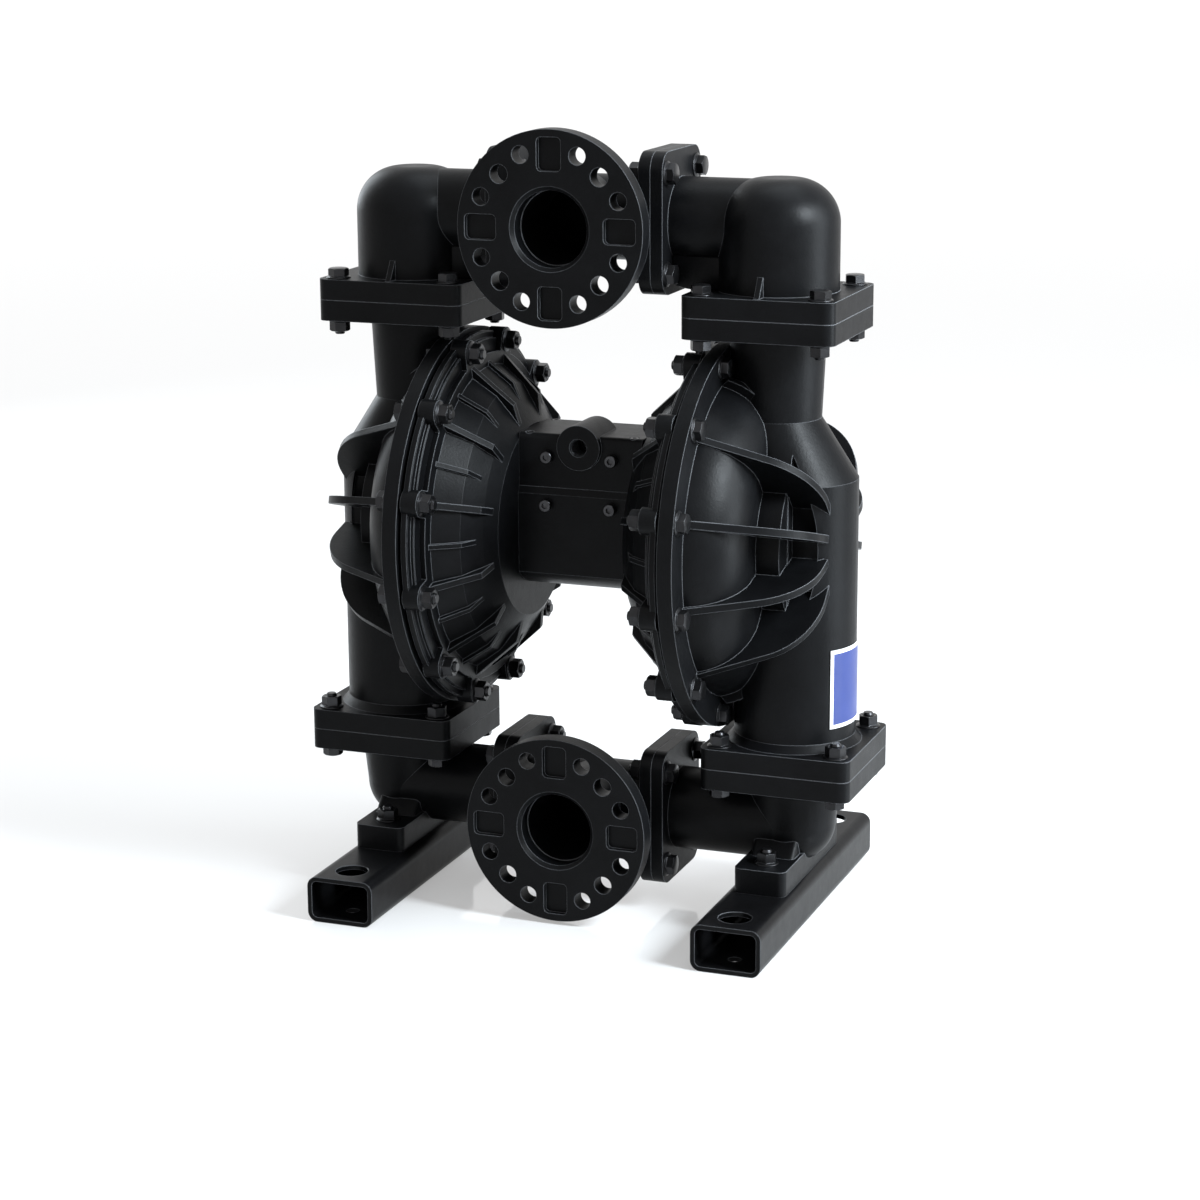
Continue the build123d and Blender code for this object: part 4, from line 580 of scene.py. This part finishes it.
def pipe_web(side):
    """Web cast under an outlet pipe, from its joint plate to the column."""
    outline = [(96.5, 704), (96.5, 677), (101, 672), (112, 669.5), (124, 668.5), (165, 668.5),
               (165, 704)]
    bm = bmesh.new()
    cheeks = [
        bm.faces.new([bm.verts.new((side * x * MM, y * MM, z * MM)) for x, z in outline])
        for y in (-31, 31)
    ]
    for edge, other in zip(*(list(cheek.edges) for cheek in cheeks)):
        bm.faces.new((*edge.verts, other.verts[1], other.verts[0]))
    bmesh.ops.recalc_face_normals(bm, faces=bm.faces)
    bmesh.ops.bevel(bm, geom=list(bm.edges), offset=3 * MM, segments=3, affect="EDGES",
                    profile=0.5, clamp_overlap=True)
    return finish_mesh(f"pipe_web_{'right' if side > 0 else 'left'}", bm, casting, "body")


pipe_web(1)
pipe_web(-1)


def muffler():
    """Ribbed exhaust muffler on its neck, turned about a line along Y."""
    low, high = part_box("muffler")
    tail = high[1] - low[1]
    shell = tail - 58 * MM
    neck, collar_radius, ridge_radius, groove_radius = 12.8 * MM, 19 * MM, 26.9 * MM, 24.6 * MM
    profile = [(0, 0), (neck, 0), (neck, shell - 6 * MM), (collar_radius, shell - 5.6 * MM),
               (collar_radius, shell), (24 * MM, shell)]
    for groove in range(10):
        ridge = shell + 2 * MM + groove * 4.6 * MM
        profile += [(ridge_radius, ridge), (ridge_radius, ridge + 2.6 * MM),
                    (groove_radius, ridge + 3.2 * MM), (groove_radius, ridge + 4.2 * MM)]
    profile += [(26.5 * MM, tail - 9 * MM), (25.5 * MM, tail - 5 * MM), (22 * MM, tail - 1.4 * MM),
                (17 * MM, tail - 0.1 * MM), (8 * MM, tail - 0.1 * MM), (6.5 * MM, tail - 2 * MM),
                (0, tail - 2 * MM)]
    bm = bmesh.new()
    lathe(bm, profile, facing((0, low[1], 430 * MM), (0, 1, 0)), 48)
    piece = finish_mesh("muffler_detail", bm, muffler_plastic, "body", 30.0)
    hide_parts("muffler")


muffler()

# Diaphragms, in sectors, each curved in a convolution between the clamped rim and the discs on the
# shaft
SECTOR_COUNT = 8
SECTOR_STEPS = 6
DIAPHRAGM_FRONT = 141 * MM
DIAPHRAGM_BACK = 138 * MM
CONVOLUTION_RADIUS = 126 * MM
FRONT_ARC = 18.5 * MM
BACK_ARC = 21.5 * MM
ARC_STEPS = 8


def diaphragm_section():
    """Pairs of front and back points of the section, each (distance from the middle, radius)."""
    inner, outer = (
        [((DIAPHRAGM_FRONT, radius * MM), (DIAPHRAGM_BACK, radius * MM)) for radius in flat]
        for flat in ((8.3, 60, 94, 101), (152, 160, 181))
    )
    back_limit = acos((DIAPHRAGM_FRONT - DIAPHRAGM_BACK) / BACK_ARC)
    bend = []
    for step in range(-ARC_STEPS, ARC_STEPS + 1):
        share = step / ARC_STEPS
        bend.append(tuple(
            (DIAPHRAGM_FRONT - arc * cos(turn), CONVOLUTION_RADIUS + arc * sin(turn))
            for arc, turn in ((FRONT_ARC, share * pi / 2), (BACK_ARC, share * back_limit))))
    return inner + bend + outer


def diaphragm_sector(side_name, side, count):
    """One closed sector of a diaphragm."""
    bm = bmesh.new()
    section = diaphragm_section()
    width = 2 * pi / SECTOR_COUNT
    slices = []
    for step in range(SECTOR_STEPS + 1):
        turn = width * (count + step / SECTOR_STEPS)
        slices.append([
            [bm.verts.new((side * x, radius * cos(turn), AXIS_Z + radius * sin(turn)))
             for x, radius in pair]
            for pair in section])
    for near, far in zip(slices, slices[1:]):
        for inner, outer in zip(range(len(section) - 1), range(1, len(section))):
            bm.faces.new((near[inner][0], near[outer][0], far[outer][0], far[inner][0]))
            bm.faces.new((near[inner][1], near[outer][1], far[outer][1], far[inner][1]))
        for end in (0, -1):
            bm.faces.new((near[end][0], near[end][1], far[end][1], far[end][0]))
    for cap in (slices[0], slices[-1]):
        for inner, outer in zip(cap, cap[1:]):
            bm.faces.new((inner[0], outer[0], outer[1], inner[1]))
    name = f"diaphragm_{side_name}_sector_{count + 1}"
    piece = finish_mesh(name, bm, rubber, None, 50.0)
    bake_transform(piece)
    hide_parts(f"diaphragm_{side_name}")


for side_name, side in (("left", -1), ("right", 1)):
    for count in range(SECTOR_COUNT):
        diaphragm_sector(side_name, side, count)

# ---- Floor, backdrop and light ------------------------------------------


def seen_white(tree):
    """Socket that is 1 for rays that show the background: seen, mirrored or let through."""
    path = tree.nodes.new("ShaderNodeLightPath")
    mirrored = math_node(tree, "MAXIMUM", path.outputs["Is Glossy Ray"],
                         path.outputs["Is Transmission Ray"])
    return math_node(tree, "MAXIMUM", path.outputs["Is Camera Ray"], mirrored)


FLOOR_HALF = 30.0
FLOOR_Z = -0.2 * MM
FLOOR_GREY = 0.5
FLOOR_GLOW = 0.37
WORLD_LIGHT = 0.45


def floor_material():
    """Pale gloss for light, with a glow that only seen and mirrored rays pick up."""
    material, tree, shader = node_tree("floor_white")
    shader.inputs["Base Color"].default_value = (FLOOR_GREY, FLOOR_GREY, FLOOR_GREY, 1)
    shader.inputs["Roughness"].default_value = 0.08
    shader.inputs["Specular IOR Level"].default_value = 0.6
    glow = tree.nodes.new("ShaderNodeEmission")
    glow.inputs["Color"].default_value = (1, 1, 1, 1)
    tree.links.new(math_node(tree, "MULTIPLY", seen_white(tree), FLOOR_GLOW),
                   glow.inputs["Strength"])
    joined = tree.nodes.new("ShaderNodeAddShader")
    tree.links.new(shader.outputs["BSDF"], joined.inputs[0])
    tree.links.new(glow.outputs["Emission"], joined.inputs[1])
    output = next(node for node in tree.nodes if node.type == "OUTPUT_MATERIAL")
    tree.links.new(joined.outputs["Shader"], output.inputs["Surface"])
    return material


floor_mesh = bpy.data.meshes.new("floor")
floor_mesh.from_pydata(
    [(-FLOOR_HALF, -FLOOR_HALF, FLOOR_Z), (FLOOR_HALF, -FLOOR_HALF, FLOOR_Z),
     (FLOOR_HALF, FLOOR_HALF, FLOOR_Z), (-FLOOR_HALF, FLOOR_HALF, FLOOR_Z)],
    [], [(0, 1, 2, 3)])
floor = bpy.data.objects.new("floor", floor_mesh)
scene.collection.objects.link(floor)
floor.data.materials.append(floor_material())

world = bpy.data.worlds.new("studio")
scene.world = world
world.use_nodes = True
tree = world.node_tree
tree.nodes.clear()
output = tree.nodes.new("ShaderNodeOutputWorld")
background = tree.nodes.new("ShaderNodeBackground")
background.inputs["Color"].default_value = (1, 1, 1, 1)
shown = tree.nodes.new("ShaderNodeMix")
shown.data_type = "FLOAT"
tree.links.new(seen_white(tree), shown.inputs["Factor"])
shown.inputs["A"].default_value = WORLD_LIGHT
shown.inputs["B"].default_value = 1.0
tree.links.new(shown.outputs["Result"], background.inputs["Strength"])
tree.links.new(background.outputs["Background"], output.inputs["Surface"])

LAMP_COLOUR = (0.86, 0.94, 1.0)
PUMP_MIDDLE = (0, 0, 0.42)


def softbox(name, place, target, width, height, power):
    """Rectangular lamp aimed at a point."""
    lamp = bpy.data.lights.new(name, "AREA")
    lamp.shape = "RECTANGLE"
    lamp.size = width
    lamp.size_y = height
    lamp.energy = power
    lamp.color = LAMP_COLOUR
    lamp_object = bpy.data.objects.new(name, lamp)
    lamp_object.location = place
    direction = Vector(target) - Vector(place)
    lamp_object.rotation_euler = direction.to_track_quat("-Z", "Y").to_euler()
    scene.collection.objects.link(lamp_object)


softbox("key_right", (2.6, 0.3, 1.1), PUMP_MIDDLE, 1.1, 2.3, 100)
softbox("top", (0.3, 0.3, 2.6), (0, 0, 0.4), 1.6, 1.4, 22)
softbox("key_front", (2.2, -0.6, 1.85), PUMP_MIDDLE, 0.6, 0.9, 150)
softbox("rim_left", (-2.3, 1.3, 1.4), PUMP_MIDDLE, 1.4, 1.8, 35)
